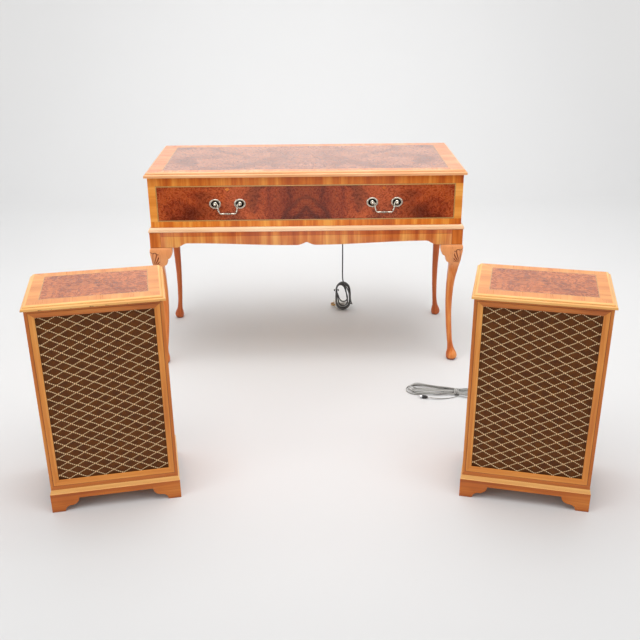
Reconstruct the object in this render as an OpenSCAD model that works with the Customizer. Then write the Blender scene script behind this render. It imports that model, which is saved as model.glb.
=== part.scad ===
// Stereo radio-gramophone console on cabriole legs with two free-standing loudspeakers.
// Millimetres, +Z up, the fronts face -Y. The console's own frame has x = 0 at its middle
// and y = 0 at the front edge of its lid. A loudspeaker's own frame has x = 0 at its middle
// and y = 0 at the front of its plinth. The whole set stands on z = 0.

/* [Console] */
// Width of the lid over its moulding
lid_w = 1138; // [1120:1:1150]
// Depth of the lid from its front edge to its back edge
lid_d = 479; // [470:1:490]
// Height of the lid's top above the floor
console_h = 740; // [730:1:750]
// Thickness of the lid
lid_t = 17.7; // [16:0.1:20]
// Width of the moulding round the lid
lid_moulding_w = 12; // [10:0.5:14]
// Width of the case under the lid
case_w = 1116; // [1108:1:1124]
// Height of the case's underside above the floor
case_z = 540; // [536:1:544]
// Thickness of the case's boards
board_t = 16; // [14:1:18]
// Thickness of the veneered front board
front_t = 18; // [16:1:20]
// Width over the legs and apron
stand_w = 1132; // [1128:1:1134]
// Height of the moulding between case and stand
waist_h = 16; // [14:1:18]
// Height of the apron at its ends
apron_h = 57; // [54:1:60]

/* [Burr panel and handles] */
// Width of the recessed burr panel on the front
burr_w = 1056; // [1040:1:1064]
// Height of the recessed burr panel
burr_h = 121; // [116:1:124]
// Height of the panel's lower edge above the floor
burr_z = 566; // [564:1:568]
// Distance of each handle from the middle of the front
handle_x = 280; // [260:1:300]
// Spacing of the two posts of one handle
post_gap = 88; // [84:1:92]
// Height of the handle posts above the floor
handle_z = 625; // [620:1:630]

/* [Legs] */
// Side of the square block at the top of a front leg
block_w = 40; // [38:1:42]
// Side of the square block at the top of a rear leg
rear_block_w = 36; // [34:1:38]
// Height of the fan's foot on the carved knee
shell_z = 394; // [390:1:398]
// Length of the ribs of the carved shell
shell_r = 56; // [50:1:60]
// Number of ribs in the carved shell
shell_ribs = 9; // [7:2:11]
// Depth of the grooves between the ribs
shell_depth = 2.2; // [1:0.1:3]

/* [Record deck] */
// Height of the board that carries deck and radio
deck_z = 640; // [636:1:642]
// Thickness of that board
deck_t = 12; // [10:1:14]
// Middle of the platter, left and right
platter_x = -330; // [-332:1:-326]
// Middle of the platter, front to back
platter_y = 246; // [240:1:250]
// Diameter of the platter
platter_d = 285; // [270:1:290]
// Tonearm pivot, left and right
arm_x = -150; // [-152:1:-146]
// Tonearm pivot, front to back
arm_y = 352; // [348:1:356]
// Length of the tonearm from pivot to stylus
arm_l = 224; // [220:1:228]

/* [Radio and amplifier] */
// Middle of the radio's panel, left and right
radio_x = 250; // [240:1:260]
// Width of the radio's panel
radio_w = 500; // [480:1:520]
// Depth of the radio's panel
radio_d = 180; // [170:1:190]
// Front edge of the radio's panel
radio_y = 80; // [60:1:100]

/* [Loudspeakers] */
// Width of a loudspeaker's top over its moulding
spk_top_w = 364.5; // [360:0.5:368]
// Depth of a loudspeaker's top
spk_top_d = 252; // [246:1:258]
// Height of a loudspeaker
spk_h = 622; // [610:1:630]
// Thickness of a loudspeaker's top
spk_top_t = 12.5; // [11:0.5:14]
// Width of a loudspeaker's case
spk_case_w = 350; // [346:1:352]
// Set-back of the case behind the plinth's front
spk_set_back = 5; // [4:0.5:6]
// Width of a loudspeaker's plinth
spk_plinth_w = 358; // [356:1:360]
// Height of a loudspeaker's plinth
spk_plinth_h = 70; // [66:1:74]
// Width of the grille opening
grille_w = 301; // [296:1:304]
// Height of the lower edge of the grille opening
grille_z0 = 98; // [96:1:100]
// Height of the upper edge of the grille opening
grille_z1 = 587; // [584:1:590]
// Width of one diamond of the grille's lattice
diamond_w = 48.7; // [48:0.1:49]
// Height of one diamond of the grille's lattice
diamond_h = 26.5; // [26:0.1:26.8]

/* [Set-out on the floor] */
// Left loudspeaker, to the side of the console's middle
left_x = -546; // [-600:1:-500]
// Left loudspeaker, in front of the console's lid
left_y = -906; // [-940:1:-880]
// Turn of the left loudspeaker towards the listener
left_turn = 10.7; // [5:0.1:15]
// Right loudspeaker, to the side of the console's middle
right_x = 603; // [560:1:640]
// Right loudspeaker, in front of the console's lid
right_y = -933; // [-960:1:-900]
// Turn of the right loudspeaker towards the listener
right_turn = -14.3; // [-18:0.1:-8]

/* [Hidden] */
$fn = 48;
far = 400; // longer than any cut has to reach
seat = 0.3; // gap between pieces that move against each other
lid_z = console_h - lid_t; // underside of the lid
rim_z = lid_z - seat; // top of the case's walls
case_y = 11; // front face of the case
waist_over = 10.5; // how far the waist moulding stands out of the case
waist_z = case_z - waist_h;
apron_z = waist_z - apron_h;
stand_y = 3; // front face of the apron and the leg blocks
stand_x = stand_w / 2; // outer face of the leg blocks
case_x = case_w / 2;
inner_x = case_x - board_t; // inside face of the case's ends
inner_y = case_y + front_t; // inside face of the front board
rail_t = 18; // thickness of the rail under the hinges
rail_y = lid_d - rail_t;
rail_h = 32;
back_t = 4; // hardboard back
panel_t = 4; // burr panel
panel_sink = 1; // how far the burr panel lies behind the front
cleat = 15; // side of the battens under the deck board
hinge_y = lid_d + 2.6;
hinge_z = lid_z - seat / 2;
knuckle_r = 2.5;
pin_r = 1.25;
fit = 0.05; // radial clearance of a running fit
hinge_x = 400; // the outer two of the three hinges stand here
hinge_l = 64;
stay_r = 140; // middle radius of the quadrant stay about the hinge
stay_x = -inner_x + 5;
stay_stud_a = 6; // the stud's angle below the hinge's level
lid_open = 76; // how far the lid opens
stay_end = 3; // how far the band runs on past the stud
pivot_y = 5.6; // axis of the bails
post_r = 4.6;
small_pin_r = 1.5; // pins of the bails, the tonearm and the motor
bail_top_x = 36.4; // where a bail's arms start, from its middle
bail_low_x = 30; // where they meet the bottom bar
bail_drop = 35;
plate_t = 3;
plate_z = deck_z; // the deck plate lies on the board
plate_top = plate_z + plate_t;
platter_low = deck_z + 6;
platter_top = deck_z + 19;
mat_t = 3;
record_t = 2;
shaft_r = 4; // the platter turns on this
spindle_r = 3.6; // the part that takes a record
drive_r = 65; // the hub that the belt runs on
pulley_r = 8;
pulley_x = platter_x - 74;
pulley_y = platter_y - 74;
belt_t = 1;
arm_z = deck_z + 39; // axis of the tonearm
arm_r = 4;
gimbal_pin_r = 3;
knob_shaft_r = 3;
panel_z = deck_z;
panel_top = panel_z + plate_t;
knob_y = radio_y + 52;
pot_shaft = 38; // length of a control's shaft below the panel
small_knobs = [radio_x - 190, radio_x - 130, radio_x - 70];
button_xs = [radio_x - 10, radio_x + 30];
tuning_x = radio_x + 180;
plunger_r = 2.5;
dial_w = 400;
dial_d = 36;
dial_y = radio_y + 130;
dial_floor = deck_z - 10;
rail_at_y = dial_y - 14; // the pointer's carriage runs on this rail
rail_at_z = dial_floor + 4;
rail_r = 1.2;
lead_x = 150; // the mains lead leaves the back here
lead_z = 575;
mains_r = 2.75;
spk_half = spk_case_w / 2;
spk_wall = 12;
spk_case_z1 = spk_h - spk_top_t;
spk_case_back = spk_top_d;
lattice_y = 11; // front of the raised cords
strand_r = 1.1;
cloth_y = 15.5; // front of the board that the cloth is stretched on
cloth_t = 3;
baffle_y = cloth_y + cloth_t;
baffle_t = 12;
spk_back_t = 9;
spk_gland_x = -90;
spk_gland_z = 130;
spk_gland_l = 16;
woofer_z = 250;
tweeter_z = 470;
woofer_hole = 74;
tweeter_hole = 27;

// Corners of a loudspeaker's top, turned and placed, give the footprint of the set
function turned(p, a, at) = [at[0] + cos(a) * p[0] - sin(a) * p[1], at[1] + sin(a) * p[0] + cos(a) * p[1]];
function top_corners(a, at) = [
    for (sx = [-1, 1], y = [0, spk_top_d]) turned([sx * spk_top_w / 2, y], a, at)
];
set_corners = concat(
    top_corners(left_turn, [left_x, left_y]),
    top_corners(right_turn, [right_x, right_y]),
    [[0, hinge_y + knuckle_r]]
);
x_low = min([for (p = set_corners) p[0]]);
x_high = max([for (p = set_corners) p[0]]);
y_low = min([for (p = set_corners) p[1]]);
y_high = max([for (p = set_corners) p[1]]);
console_at = [-(x_low + x_high) / 2, -(y_low + y_high) / 2, 0];

// Cord routes in the console's frame: straight out of the gland, then down under gravity
mains_route = [
    [150, 504, 575], [150, 512, 574], [150, 521, 568], [150, 527, 558], [150, 529, 545],
    [150, 529, 500], [151, 528, 440], [152, 527, 380], [153, 526, 320], [153, 526, 260],
    [153, 526, 200], [152, 526, 165], [151, 526, 145], [151, 526, 131]
];
// The loudspeaker lead in the right loudspeaker's frame: down to the floor and along it
speaker_route = [
    [-90, 268, 130], [-90, 276, 130], [-90, 285, 127], [-90, 293, 119], [-91, 300, 106],
    [-92, 306, 88], [-93, 312, 66], [-94, 319, 44], [-95, 328, 25], [-96, 340, 11],
    [-97, 356, 4], [-98, 376, 3], [-97, 400, 3], [-95, 430, 3], [-92, 465, 3],
    [-91, 500, 3], [-93, 535, 3], [-98, 565, 3], [-108, 590, 4], [-124, 606, 7],
    [-144, 613, 11], [-170, 615, 12]
];
speaker_lead_r = 2.4;
mains_hank_at = [151, 526];
mains_hank_w = 79;
mains_hank_h = 131;
mains_hank_t = 20;
speaker_hank_at = [-295, 615];
speaker_hank_l = 250;
speaker_hank_w = 92;
speaker_hank_h = 30;

// Quarter of an ellipse from one point to another, the first tangent upright or level
function quarter(a, b, upright = true, n = 8) = [
    for (i = [0:n])
        let (t = 90 * i / n)
        upright
            ? [b[0] + (a[0] - b[0]) * cos(t), a[1] + (b[1] - a[1]) * sin(t)]
            : [a[0] + (b[0] - a[0]) * sin(t), b[1] + (a[1] - b[1]) * cos(t)]
];

// Smooth curve through hand-set stations [height, value], by Catmull and Rom's rule
function span_at(z, t, i = 0) = i >= len(t) - 2 || z <= t[i + 1][0] ? i : span_at(z, t, i + 1);
function bend(p0, p1, p2, p3, u) =
    0.5 * (2 * p1 + (p2 - p0) * u + (2 * p0 - 5 * p1 + 4 * p2 - p3) * u * u
    + (3 * p1 - p0 - 3 * p2 + p3) * u * u * u);
function smooth(z, t) =
    let (i = span_at(z, t), u = (z - t[i][0]) / (t[i + 1][0] - t[i][0]))
    bend(t[max(i - 1, 0)][1], t[i][1], t[i + 1][1], t[min(i + 2, len(t) - 1)][1], min(max(u, 0), 1));

// A skin over rings of points, closed at both ends
module skin(rings) {
    n = len(rings[0]);
    m = len(rings);
    points = [for (r = rings) for (p = r) p];
    sides = [
        for (j = [0:m - 2], i = [0:n - 1])
            let (k = (i + 1) % n)
            [j * n + i, j * n + k, (j + 1) * n + k, (j + 1) * n + i]
    ];
    ends = [[for (i = [n - 1:-1:0]) i], [for (i = [0:n - 1]) (m - 1) * n + i]];
    polyhedron(points = points, faces = concat(sides, ends), convexity = 6);
}

// A round tube swept along a route, its rings square to the route
function unit(v) = v / norm(v);
function tangent(p, i) = unit(p[min(i + 1, len(p) - 1)] - p[max(i - 1, 0)]);
function ring(p, i, r, n, side) =
    let (t = tangent(p, i), a = unit(cross(t, side)), b = cross(t, a))
    [for (k = [0:n - 1]) p[i] + r * (cos(360 * k / n) * a + sin(360 * k / n) * b)];
module tube(route, r, n = 8, side = [1, 0, 0]) {
    skin([for (i = [0:len(route) - 1]) ring(route, i, r, n, side)]);
}

// A bar along +X whose profile is drawn as [inward, up], mitred where asked
module mitred_bar(length, band, profile, start = true, finish = true) {
    x0 = start ? band : 0;
    x1 = finish ? length - band : length;
    intersection() {
        rotate([90, 0, 90])
            linear_extrude(length)
                polygon(profile);
        translate([0, 0, -far])
            linear_extrude(2 * far)
                polygon([[0, 0], [length, 0], [x1, band], [x0, band]]);
    }
}

// Moulding along the front and both sides, its front edge on y = 0, square at the back
module moulding_three_sides(w, d, band, profile) {
    translate([-w / 2, 0, 0])
        mitred_bar(w, band, profile);
    for (side = [0, 1])
        mirror([side, 0, 0])
            translate([w / 2, 0, 0])
                rotate(90)
                    mitred_bar(d, band, profile, true, false);
}

// Frame on all four sides of a rectangle whose lower left corner is the origin
module moulding_four_sides(w, d, band, profile) {
    mitred_bar(w, band, profile);
    translate([w, 0, 0])
        rotate(90)
            mitred_bar(d, band, profile);
    translate([w, d, 0])
        rotate(180)
            mitred_bar(w, band, profile);
    translate([0, d, 0])
        rotate(270)
            mitred_bar(d, band, profile);
}

// Rounded rectangle about the origin
module rounded(w, d, r) {
    square([w - 2 * r, d], center = true);
    square([w, d - 2 * r], center = true);
    for (sx = [-1, 1], sy = [-1, 1])
        translate([sx * (w / 2 - r), sy * (d / 2 - r)])
            circle(r);
}

// A box given by its lowest and highest corners
module box(a, b) {
    translate(a)
        cube(b - a);
}

// Cylinders along the axes, from a point and with a length
module rod_x(at, r, length) {
    translate(at)
        rotate([0, 90, 0])
            cylinder(r = r, h = length);
}
module rod_y(at, r, length) {
    translate(at)
        rotate([-90, 0, 0])
            cylinder(r = r, h = length);
}
module rod_z(at, r, length) {
    translate(at)
        cylinder(r = r, h = length);
}

// Round bar between two points in one upright plane, y = at_y
module bar_between(x0, z0, x1, z1, at_y, r) {
    translate([x0, at_y, z0])
        rotate([0, atan2(x1 - x0, z1 - z0), 0])
            cylinder(r = r, h = norm([x1 - x0, z1 - z0]));
}

module console() {
    translate(console_at)
        children();
}

module place_speaker(right) {
    x = right ? right_x : left_x;
    y = right ? right_y : left_y;
    translate(console_at + [x, y, 0])
        rotate(right ? right_turn : left_turn)
            children();
}

module both_speakers() {
    for (right = [false, true])
        place_speaker(right)
            children();
}

// Console case

module case_front() {
    color("peru")
    console()
    difference() {
        box([-case_x, case_y, case_z], [case_x, inner_y, rim_z]);
        box([-burr_w / 2, case_y - 1, burr_z],
            [burr_w / 2, case_y + panel_sink + panel_t, burr_z + burr_h]);
    }
}

module front_burr_panel() {
    color("saddlebrown")
    console()
    difference() {
        box([-burr_w / 2, case_y + panel_sink, burr_z],
            [burr_w / 2, case_y + panel_sink + panel_t, burr_z + burr_h]);
        for (hx = [-handle_x, handle_x], sx = [-1, 1])
            rod_y([hx + sx * post_gap / 2, case_y, handle_z], post_r, panel_t + 2);
    }
}

module case_ends() {
    color("chocolate")
    console()
    for (side = [0, 1])
        mirror([side, 0, 0])
            difference() {
                box([inner_x, inner_y, case_z], [case_x, lid_d, rim_z]);
                box([inner_x - 1, lid_d - back_t, case_z + board_t],
                    [inner_x + 6, lid_d + 1, rim_z - rail_h]);
            }
}

module case_base() {
    color("burlywood")
    console()
    difference() {
        box([-inner_x, inner_y, case_z], [inner_x, lid_d, case_z + board_t]);
        for (i = [0:5])
            translate([radio_x - 100 + 40 * i, lid_d - 120, case_z - 1])
                linear_extrude(board_t + 2)
                    rounded(10, 120, 4.9);
    }
}

module inner_rails() {
    color("tan")
    console() {
        box([-inner_x, rail_y, rim_z - rail_h], [inner_x, lid_d, rim_z]);
        cleat_z = deck_z - deck_t - cleat;
        box([-inner_x, inner_y, cleat_z], [inner_x, inner_y + cleat, cleat_z + cleat]);
        box([-inner_x, rail_y - cleat, cleat_z], [inner_x, rail_y, cleat_z + cleat]);
        rod_x([-inner_x, hinge_y - stay_r * cos(stay_stud_a), hinge_z - stay_r * sin(stay_stud_a)],
            1.9, 9);
    }
}

module back_panel() {
    z0 = case_z + board_t;
    z1 = rim_z - rail_h;
    color("sienna")
    console()
    difference() {
        box([-inner_x - 5, lid_d - back_t, z0], [inner_x + 5, lid_d, z1]);
        for (i = [0:13], row = [0, 1])
            translate([radio_x - 130 + 20 * i, lid_d - back_t - 1, z0 + 42 + 46 * row])
                rotate([-90, 0, 0])
                    linear_extrude(back_t + 2)
                        rounded(7, 34, 3.4);
        rod_y([lead_x, lid_d - back_t - 1, lead_z], 5, back_t + 2);
        for (i = [0, 1])
            rod_y([-60 - 40 * i, lid_d - back_t - 1, z0 + 30], 8, back_t + 2);
    }
}

// Ogee-topped moulding between the case and the stand, with a plain rail at the back
waist_band = 30;
waist_profile = concat(
    [[0, 0]],
    quarter([0, 3], [waist_over, waist_h]),
    [[waist_band, waist_h], [waist_band, 0]]
);

module lower_moulding() {
    color("sandybrown")
    console()
    {
        translate([0, case_y - waist_over, waist_z])
            moulding_three_sides(case_w + 2 * waist_over, lid_d - case_y + waist_over, waist_band, waist_profile);
        back_x = case_x + waist_over - waist_band;
        box([-back_x, lid_d - front_t, waist_z], [back_x, lid_d, case_z]);
    }
}

// Lower edge of the apron: deep at the ends, an ogee up, a slow fall to two lobes
// and a small peak in the middle
apron_rise = 15;
apron_sag = 4;
ogee_out = stand_x - 95;
ogee_in = stand_x - 134;
lobe_x = 36;
function ease(a, b, u) = a + (b - a) * (1 - cos(180 * u)) / 2;
function apron_edge(x) =
    let (d = abs(x))
    d > ogee_out ? apron_z
    : d > ogee_in ? ease(apron_z + apron_rise, apron_z, (d - ogee_in) / (ogee_out - ogee_in))
    : d > lobe_x ? ease(apron_z + apron_sag, apron_z + apron_rise, (d - lobe_x) / (ogee_in - lobe_x))
    : ease(apron_z + apron_rise, apron_z + apron_sag, pow(d / lobe_x, 0.7));
apron_inner_x = stand_x - block_w;
apron_points = concat(
    [[-apron_inner_x, waist_z], [-apron_inner_x, apron_z]],
    [for (u = [0:0.1:1]) [-ogee_out + (ogee_out - ogee_in) * u, apron_edge(ogee_out - (ogee_out - ogee_in) * u)]],
    [for (u = [0.1:0.1:1]) [-ogee_in + (ogee_in - lobe_x) * u, apron_edge(ogee_in - (ogee_in - lobe_x) * u)]],
    [for (u = [-0.9:0.1:0.95]) [lobe_x * u, apron_edge(lobe_x * u)]],
    [for (u = [0:0.1:0.9]) [lobe_x + (ogee_in - lobe_x) * u, apron_edge(lobe_x + (ogee_in - lobe_x) * u)]],
    [for (u = [0:0.1:1]) [ogee_in + (ogee_out - ogee_in) * u, apron_edge(ogee_in + (ogee_out - ogee_in) * u)]],
    [[apron_inner_x, apron_z], [apron_inner_x, waist_z]]
);

// Side of the stand: the same ogee behind the front leg, level to the rear leg
side_y0 = stand_y + block_w;
side_y1 = lid_d - rear_block_w;
side_points = concat(
    [[side_y0, waist_z], [side_y0, apron_z]],
    [for (u = [0:0.1:1]) [side_y0 + 42 + 39 * u, ease(apron_z, apron_z + apron_rise, u)]],
    [[side_y1, apron_z + apron_rise], [side_y1, waist_z]]
);

module apron() {
    color("darkorange")
    console() {
        translate([0, stand_y + front_t, 0])
            rotate([90, 0, 0])
                linear_extrude(front_t)
                    polygon(apron_points);
        for (side = [0, 1])
            mirror([side, 0, 0])
                translate([stand_x - front_t, 0, 0])
                    rotate([90, 0, 90])
                        linear_extrude(front_t)
                            polygon(side_points);
        box([-stand_x + rear_block_w, lid_d - front_t, apron_z + apron_rise],
            [stand_x - rear_block_w, lid_d, waist_z]);
    }
}

// Cabriole legs

// Stations of a front leg, [height, value]: the middle of the section moves out along
// both x and y, the half width swells at the knee and the foot, and the section goes
// from square to round
front_shift = [
    [0, 5], [12, 6], [25, 5], [50, 1], [80, -3.5], [130, -8], [200, -12], [270, -12.5],
    [330, -9.5], [380, -4], [410, 0], [440, 2], [458, 1.5], [467, 0], [524, 0]
];
front_half = [
    [0, 15], [6, 19], [14, 21], [25, 19.5], [40, 14], [60, 10.6], [80, 10], [130, 10.4],
    [200, 11.4], [270, 13], [330, 15], [380, 18.5], [410, 20.5], [440, 22], [458, 21.5],
    [467, 20], [524, 20]
];
front_square = [[0, 2], [80, 2], [200, 2.4], [330, 3.4], [400, 5], [440, 9], [467, 30], [524, 30]];
rear_shift = [
    [0, 6], [14, 7], [25, 6], [50, 2], [90, -2], [150, -5], [230, -6], [320, -4], [400, -1],
    [467, 0], [524, 0]
];
rear_half = [
    [0, 13], [6, 17], [14, 18.5], [25, 17], [42, 11.5], [70, 9.2], [110, 9.4], [200, 11],
    [300, 13.5], [400, 16.5], [460, 18], [467, 18], [524, 18]
];
rear_square = [[0, 2], [110, 2], [250, 2.6], [400, 6], [460, 20], [524, 30]];
front_heights = concat(
    [for (z = [0, 5, 10, 16, 22, 28, 34, 42, 52, 65]) z],
    [for (z = [85:35:365]) z],
    [for (z = [380:5:460]) z],
    [apron_z, waist_z]
);
rear_heights = concat(
    [for (z = [0, 5, 10, 16, 22, 28, 35, 44, 56, 75]) z],
    [for (z = [105:45:420]) z],
    [apron_z, waist_z]
);

// One point of a squared circle at an angle from the +x axis
function round_square(a, h, n) =
    let (c = cos(a), s = sin(a), k = pow(pow(abs(c), n) + pow(abs(s), n), -1 / n))
    [h * k * c, h * k * s];

// The shell: ribs that fan up from a point on the outer arris of the knee
function shell_cut(along, z) =
    let (
        up = z - shell_z,
        r = norm([along, up]),
        a = atan2(along, up),
        reach = shell_r * (0.93 + 0.07 * abs(cos(a * shell_ribs / 2))),
        groove = pow(abs(sin(a * shell_ribs * 90 / 72)), 1.5)
    )
    r > reach || r < 6 || abs(a) > 74 ? 0 : shell_depth * (0.45 + 0.55 * groove) * min(1, r / 22);

function leg_ring(z, shift, half, squareness, sides, carved) =
    let (c = smooth(z, shift), h = smooth(z, half), n = smooth(z, squareness))
    [
        for (i = [0:sides - 1])
            let (
                a = 45 + 360 * i / sides,
                p = round_square(a, h, n),
                q = i <= sides / 2 ? i : i - sides,
                along = norm(p) * q * 2 * PI / sides,
                d = carved && abs(q) < sides / 5 ? shell_cut(along, z) : 0
            )
            [c + p[0] * (1 - d / norm(p)), c + p[1] * (1 - d / norm(p)), z]
    ];

// A leg about the middle of its block, its knee pointing to +x +y
module front_leg_form() {
    skin([for (z = front_heights) leg_ring(z, front_shift, front_half, front_square, 40, true)]);
}
module rear_leg_form() {
    skin([for (z = rear_heights) leg_ring(z, rear_shift, rear_half, rear_square, 16, false)]);
}

module front_legs() {
    color("chocolate")
    console()
    for (side = [0, 1])
        mirror([side, 0, 0])
            translate([stand_x - block_w / 2, stand_y + block_w / 2, 0])
                mirror([0, 1, 0])
                    front_leg_form();
}

module rear_legs() {
    color("sienna")
    console()
    for (side = [0, 1])
        mirror([side, 0, 0])
            translate([stand_x - rear_block_w / 2, lid_d - rear_block_w / 2, 0])
                rear_leg_form();
}

// Ear beside the knee, drawn as [distance from the outer face, height below the apron]
bracket_root = block_w - 3;
bracket_points = concat(
    [[bracket_root, 0], [79, 0]],
    quarter([79, -3], [62, -44], true, 6),
    quarter([58, -52], [50, -69], true, 5),
    [[bracket_root, -80]]
);
bracket_t = 26;

module bracket() {
    linear_extrude(bracket_t)
        polygon([for (p = bracket_points) [-p[0], p[1]]]);
}

module knee_brackets() {
    color("sandybrown")
    console()
    for (side = [0, 1])
        mirror([side, 0, 0]) {
            translate([stand_x, stand_y + bracket_t - 1, apron_z])
                rotate([90, 0, 0])
                    bracket();
            translate([stand_x - bracket_t + 1, stand_y, apron_z])
                rotate([90, 0, 90])
                    mirror([1, 0, 0])
                        bracket();
        }
}

// Handles

function ellipse(a, b, n = 36) = [for (i = [0:n - 1]) [a * cos(360 * i / n), b * sin(360 * i / n)]];
rose_a = 21;
rose_b = 18;
rose_y = case_y + panel_sink; // the roses sit on the burr panel

module rose() {
    difference() {
        union() {
            translate([0, rose_y, 0])
                rotate([90, 0, 0]) {
                    linear_extrude(1.4)
                        polygon(ellipse(rose_a, rose_b));
                    linear_extrude(3.1)
                        difference() {
                            polygon(ellipse(rose_a - 0.8, rose_b - 0.8));
                            polygon(ellipse(rose_a - 4.5, rose_b - 4.2));
                        }
                }
            rod_y([0, -1, 0], post_r, rose_y + panel_t + 1);
            translate([0, -2, 0])
                sphere(4.8);
        }
        rod_x([-6, pivot_y, 0], small_pin_r + fit, 12);
    }
}

module handle_roses() {
    color("silver")
    console()
    for (hx = [-handle_x, handle_x], sx = [-1, 1])
        translate([hx + sx * post_gap / 2, 0, handle_z])
            rose();
}

module bail() {
    low = handle_z - bail_drop;
    for (side = [0, 1])
        mirror([side, 0, 0]) {
            rod_x([bail_top_x, pivot_y, handle_z], small_pin_r, post_gap / 2 + 1 - bail_top_x);
            translate([bail_top_x, pivot_y, handle_z])
                sphere(2.5);
            bar_between(bail_top_x, handle_z, bail_low_x, low, pivot_y, 2);
            translate([(bail_top_x + bail_low_x) / 2, pivot_y, handle_z - bail_drop / 2])
                sphere(3);
            translate([bail_low_x, pivot_y, low])
                sphere(2.9);
            translate([8, pivot_y, low])
                sphere(3.1);
        }
    rod_x([-bail_low_x, pivot_y, low], 2.1, 2 * bail_low_x);
    translate([0, pivot_y, low])
        sphere(3.9);
}

module bail_left() {
    color("lightgray")
    console()
    translate([-handle_x, 0, 0])
        bail();
}

module bail_right() {
    color("lightgray")
    console()
    translate([handle_x, 0, 0])
        bail();
}

// Lid, hinges and stay

lid_profile = concat(
    [[0, 0]],
    quarter([0, 6], [5, 10.5], true, 5),
    quarter([6.5, 10.5], [lid_moulding_w, lid_t], true, 6),
    [[lid_moulding_w, 0]]
);

module lid_panel() {
    color("saddlebrown")
    console()
    box([-lid_w / 2 + lid_moulding_w, lid_moulding_w, lid_z],
        [lid_w / 2 - lid_moulding_w, lid_d, console_h]);
}

module lid_moulding() {
    color("sandybrown")
    console()
    translate([0, 0, lid_z])
        moulding_three_sides(lid_w, lid_d, lid_moulding_w, lid_profile);
}

knuckles = 5;
knuckle_l = hinge_l / knuckles;
leaf_t = 1.2;

module knuckle_row(first, bore) {
    for (hx = [-hinge_x, 0, hinge_x], k = [first:2:knuckles - 1])
        difference() {
            rod_x([hx - hinge_l / 2 + k * knuckle_l + seat / 2, hinge_y, hinge_z],
                knuckle_r, knuckle_l - seat);
            if (bore > 0)
                rod_x([hx - hinge_l, hinge_y, hinge_z], bore, 2 * hinge_l);
        }
}

module case_hinge() {
    color("goldenrod")
    console() {
        knuckle_row(0, 0);
        for (hx = [-hinge_x, 0, hinge_x]) {
            rod_x([hx - hinge_l / 2 + 1, hinge_y, hinge_z], pin_r, hinge_l - 2);
            for (k = [0:2:knuckles - 1])
                translate([hx - hinge_l / 2 + k * knuckle_l + seat / 2, lid_d, hinge_z - 20])
                    cube([knuckle_l - seat, leaf_t, 20]);
            box([hx - hinge_l / 2, lid_d, hinge_z - 20], [hx + hinge_l / 2, lid_d + leaf_t, hinge_z - 3.5]);
        }
    }
}

module lid_hinge() {
    color("goldenrod")
    console() {
        difference() {
            union() {
                knuckle_row(1, 0);
                for (hx = [-hinge_x, 0, hinge_x], k = [1:2:knuckles - 1])
                    translate([hx - hinge_l / 2 + k * knuckle_l + seat / 2, lid_d, hinge_z])
                        cube([knuckle_l - seat, leaf_t, 16]);
                for (hx = [-hinge_x, 0, hinge_x])
                    box([hx - hinge_l / 2, lid_d, hinge_z + 3.5], [hx + hinge_l / 2, lid_d + leaf_t, hinge_z + 16]);
            }
            rod_x([-hinge_x - hinge_l, hinge_y, hinge_z], pin_r + fit, 2 * (hinge_x + hinge_l));
        }
    }
}

// Quadrant stay: an arc about the hinge, slotted for the stud on the case's end
module sector(a0, a1, r) {
    polygon(concat([[0, 0]], [for (i = [0:8]) let (a = a0 + (a1 - a0) * i / 8) 2 * r * [cos(a), sin(a)]]));
}
module arc_band(r, w, a0, a1) {
    intersection() {
        difference() {
            circle(r + w / 2, $fn = 96);
            circle(r - w / 2, $fn = 96);
        }
        sector(a0, a1, r);
    }
}

module lid_stay() {
    a0 = 181;
    a1 = 180 + stay_stud_a + lid_open + stay_end;
    color("goldenrod")
    console() {
        translate([stay_x, hinge_y, hinge_z])
            rotate([90, 0, 90])
                linear_extrude(2.5)
                    difference() {
                        arc_band(stay_r, 13, a0, a1);
                        arc_band(stay_r, 5, 180 + stay_stud_a - 1.5, a1 - 1.5);
                    }
        box([stay_x, hinge_y - stay_r - 16, lid_z - 5.5], [stay_x + 2.5, hinge_y - stay_r + 16, lid_z]);
        box([stay_x, hinge_y - stay_r - 16, lid_z - 2], [stay_x + 14, hinge_y - stay_r + 16, lid_z]);
    }
}

// Deck board and record deck

plate_w = 400;
plate_d = 320;
plate_x = platter_x + 20;
speed_x = plate_x - plate_w / 2 + 40;
speed_y = platter_y - plate_d / 2 + 40;

module deck_board() {
    color("peru")
    console()
    difference() {
        box([-inner_x + 0.5, inner_y + 0.5, deck_z - deck_t], [inner_x - 0.5, rail_y - 0.5, deck_z]);
        translate([plate_x, platter_y, deck_z - deck_t - 1])
            linear_extrude(deck_t + 2)
                rounded(plate_w - 50, plate_d - 50, 12);
        translate([radio_x, radio_y + radio_d / 2, deck_z - deck_t - 1])
            linear_extrude(deck_t + 2)
                rounded(radio_w - 30, radio_d - 24, 8);
        box([-inner_x, hinge_y - stay_r - 6, deck_z - deck_t - 1],
            [stay_x + 6, hinge_y - stay_r + 52, deck_z + 1]);
    }
}

module deck_plate() {
    color("dimgray")
    console()
    translate([0, 0, plate_z])
        difference() {
            linear_extrude(plate_t)
                difference() {
                    translate([plate_x, platter_y])
                        rounded(plate_w, plate_d, 16);
                    translate([pulley_x, pulley_y])
                        circle(5);
                }
            rod_z([platter_x, platter_y, -1], 6, plate_t + 2);
            rod_z([speed_x, speed_y, -1], knob_shaft_r + fit, plate_t + 2);
        }
}

module platter_bearing() {
    color("silver")
    console() {
        rod_z([platter_x, platter_y, plate_top], 14, platter_low - seat - plate_top);
        rod_z([platter_x, platter_y, plate_z - 18], 6, 23);
        rod_z([platter_x, platter_y, plate_top], shaft_r, platter_top + mat_t - plate_top);
        rod_z([platter_x, platter_y, platter_top + mat_t], spindle_r, 10);
        translate([platter_x, platter_y, platter_top + mat_t + 10])
            cylinder(r1 = spindle_r, r2 = 1.5, h = 2.5);
    }
}

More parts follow.
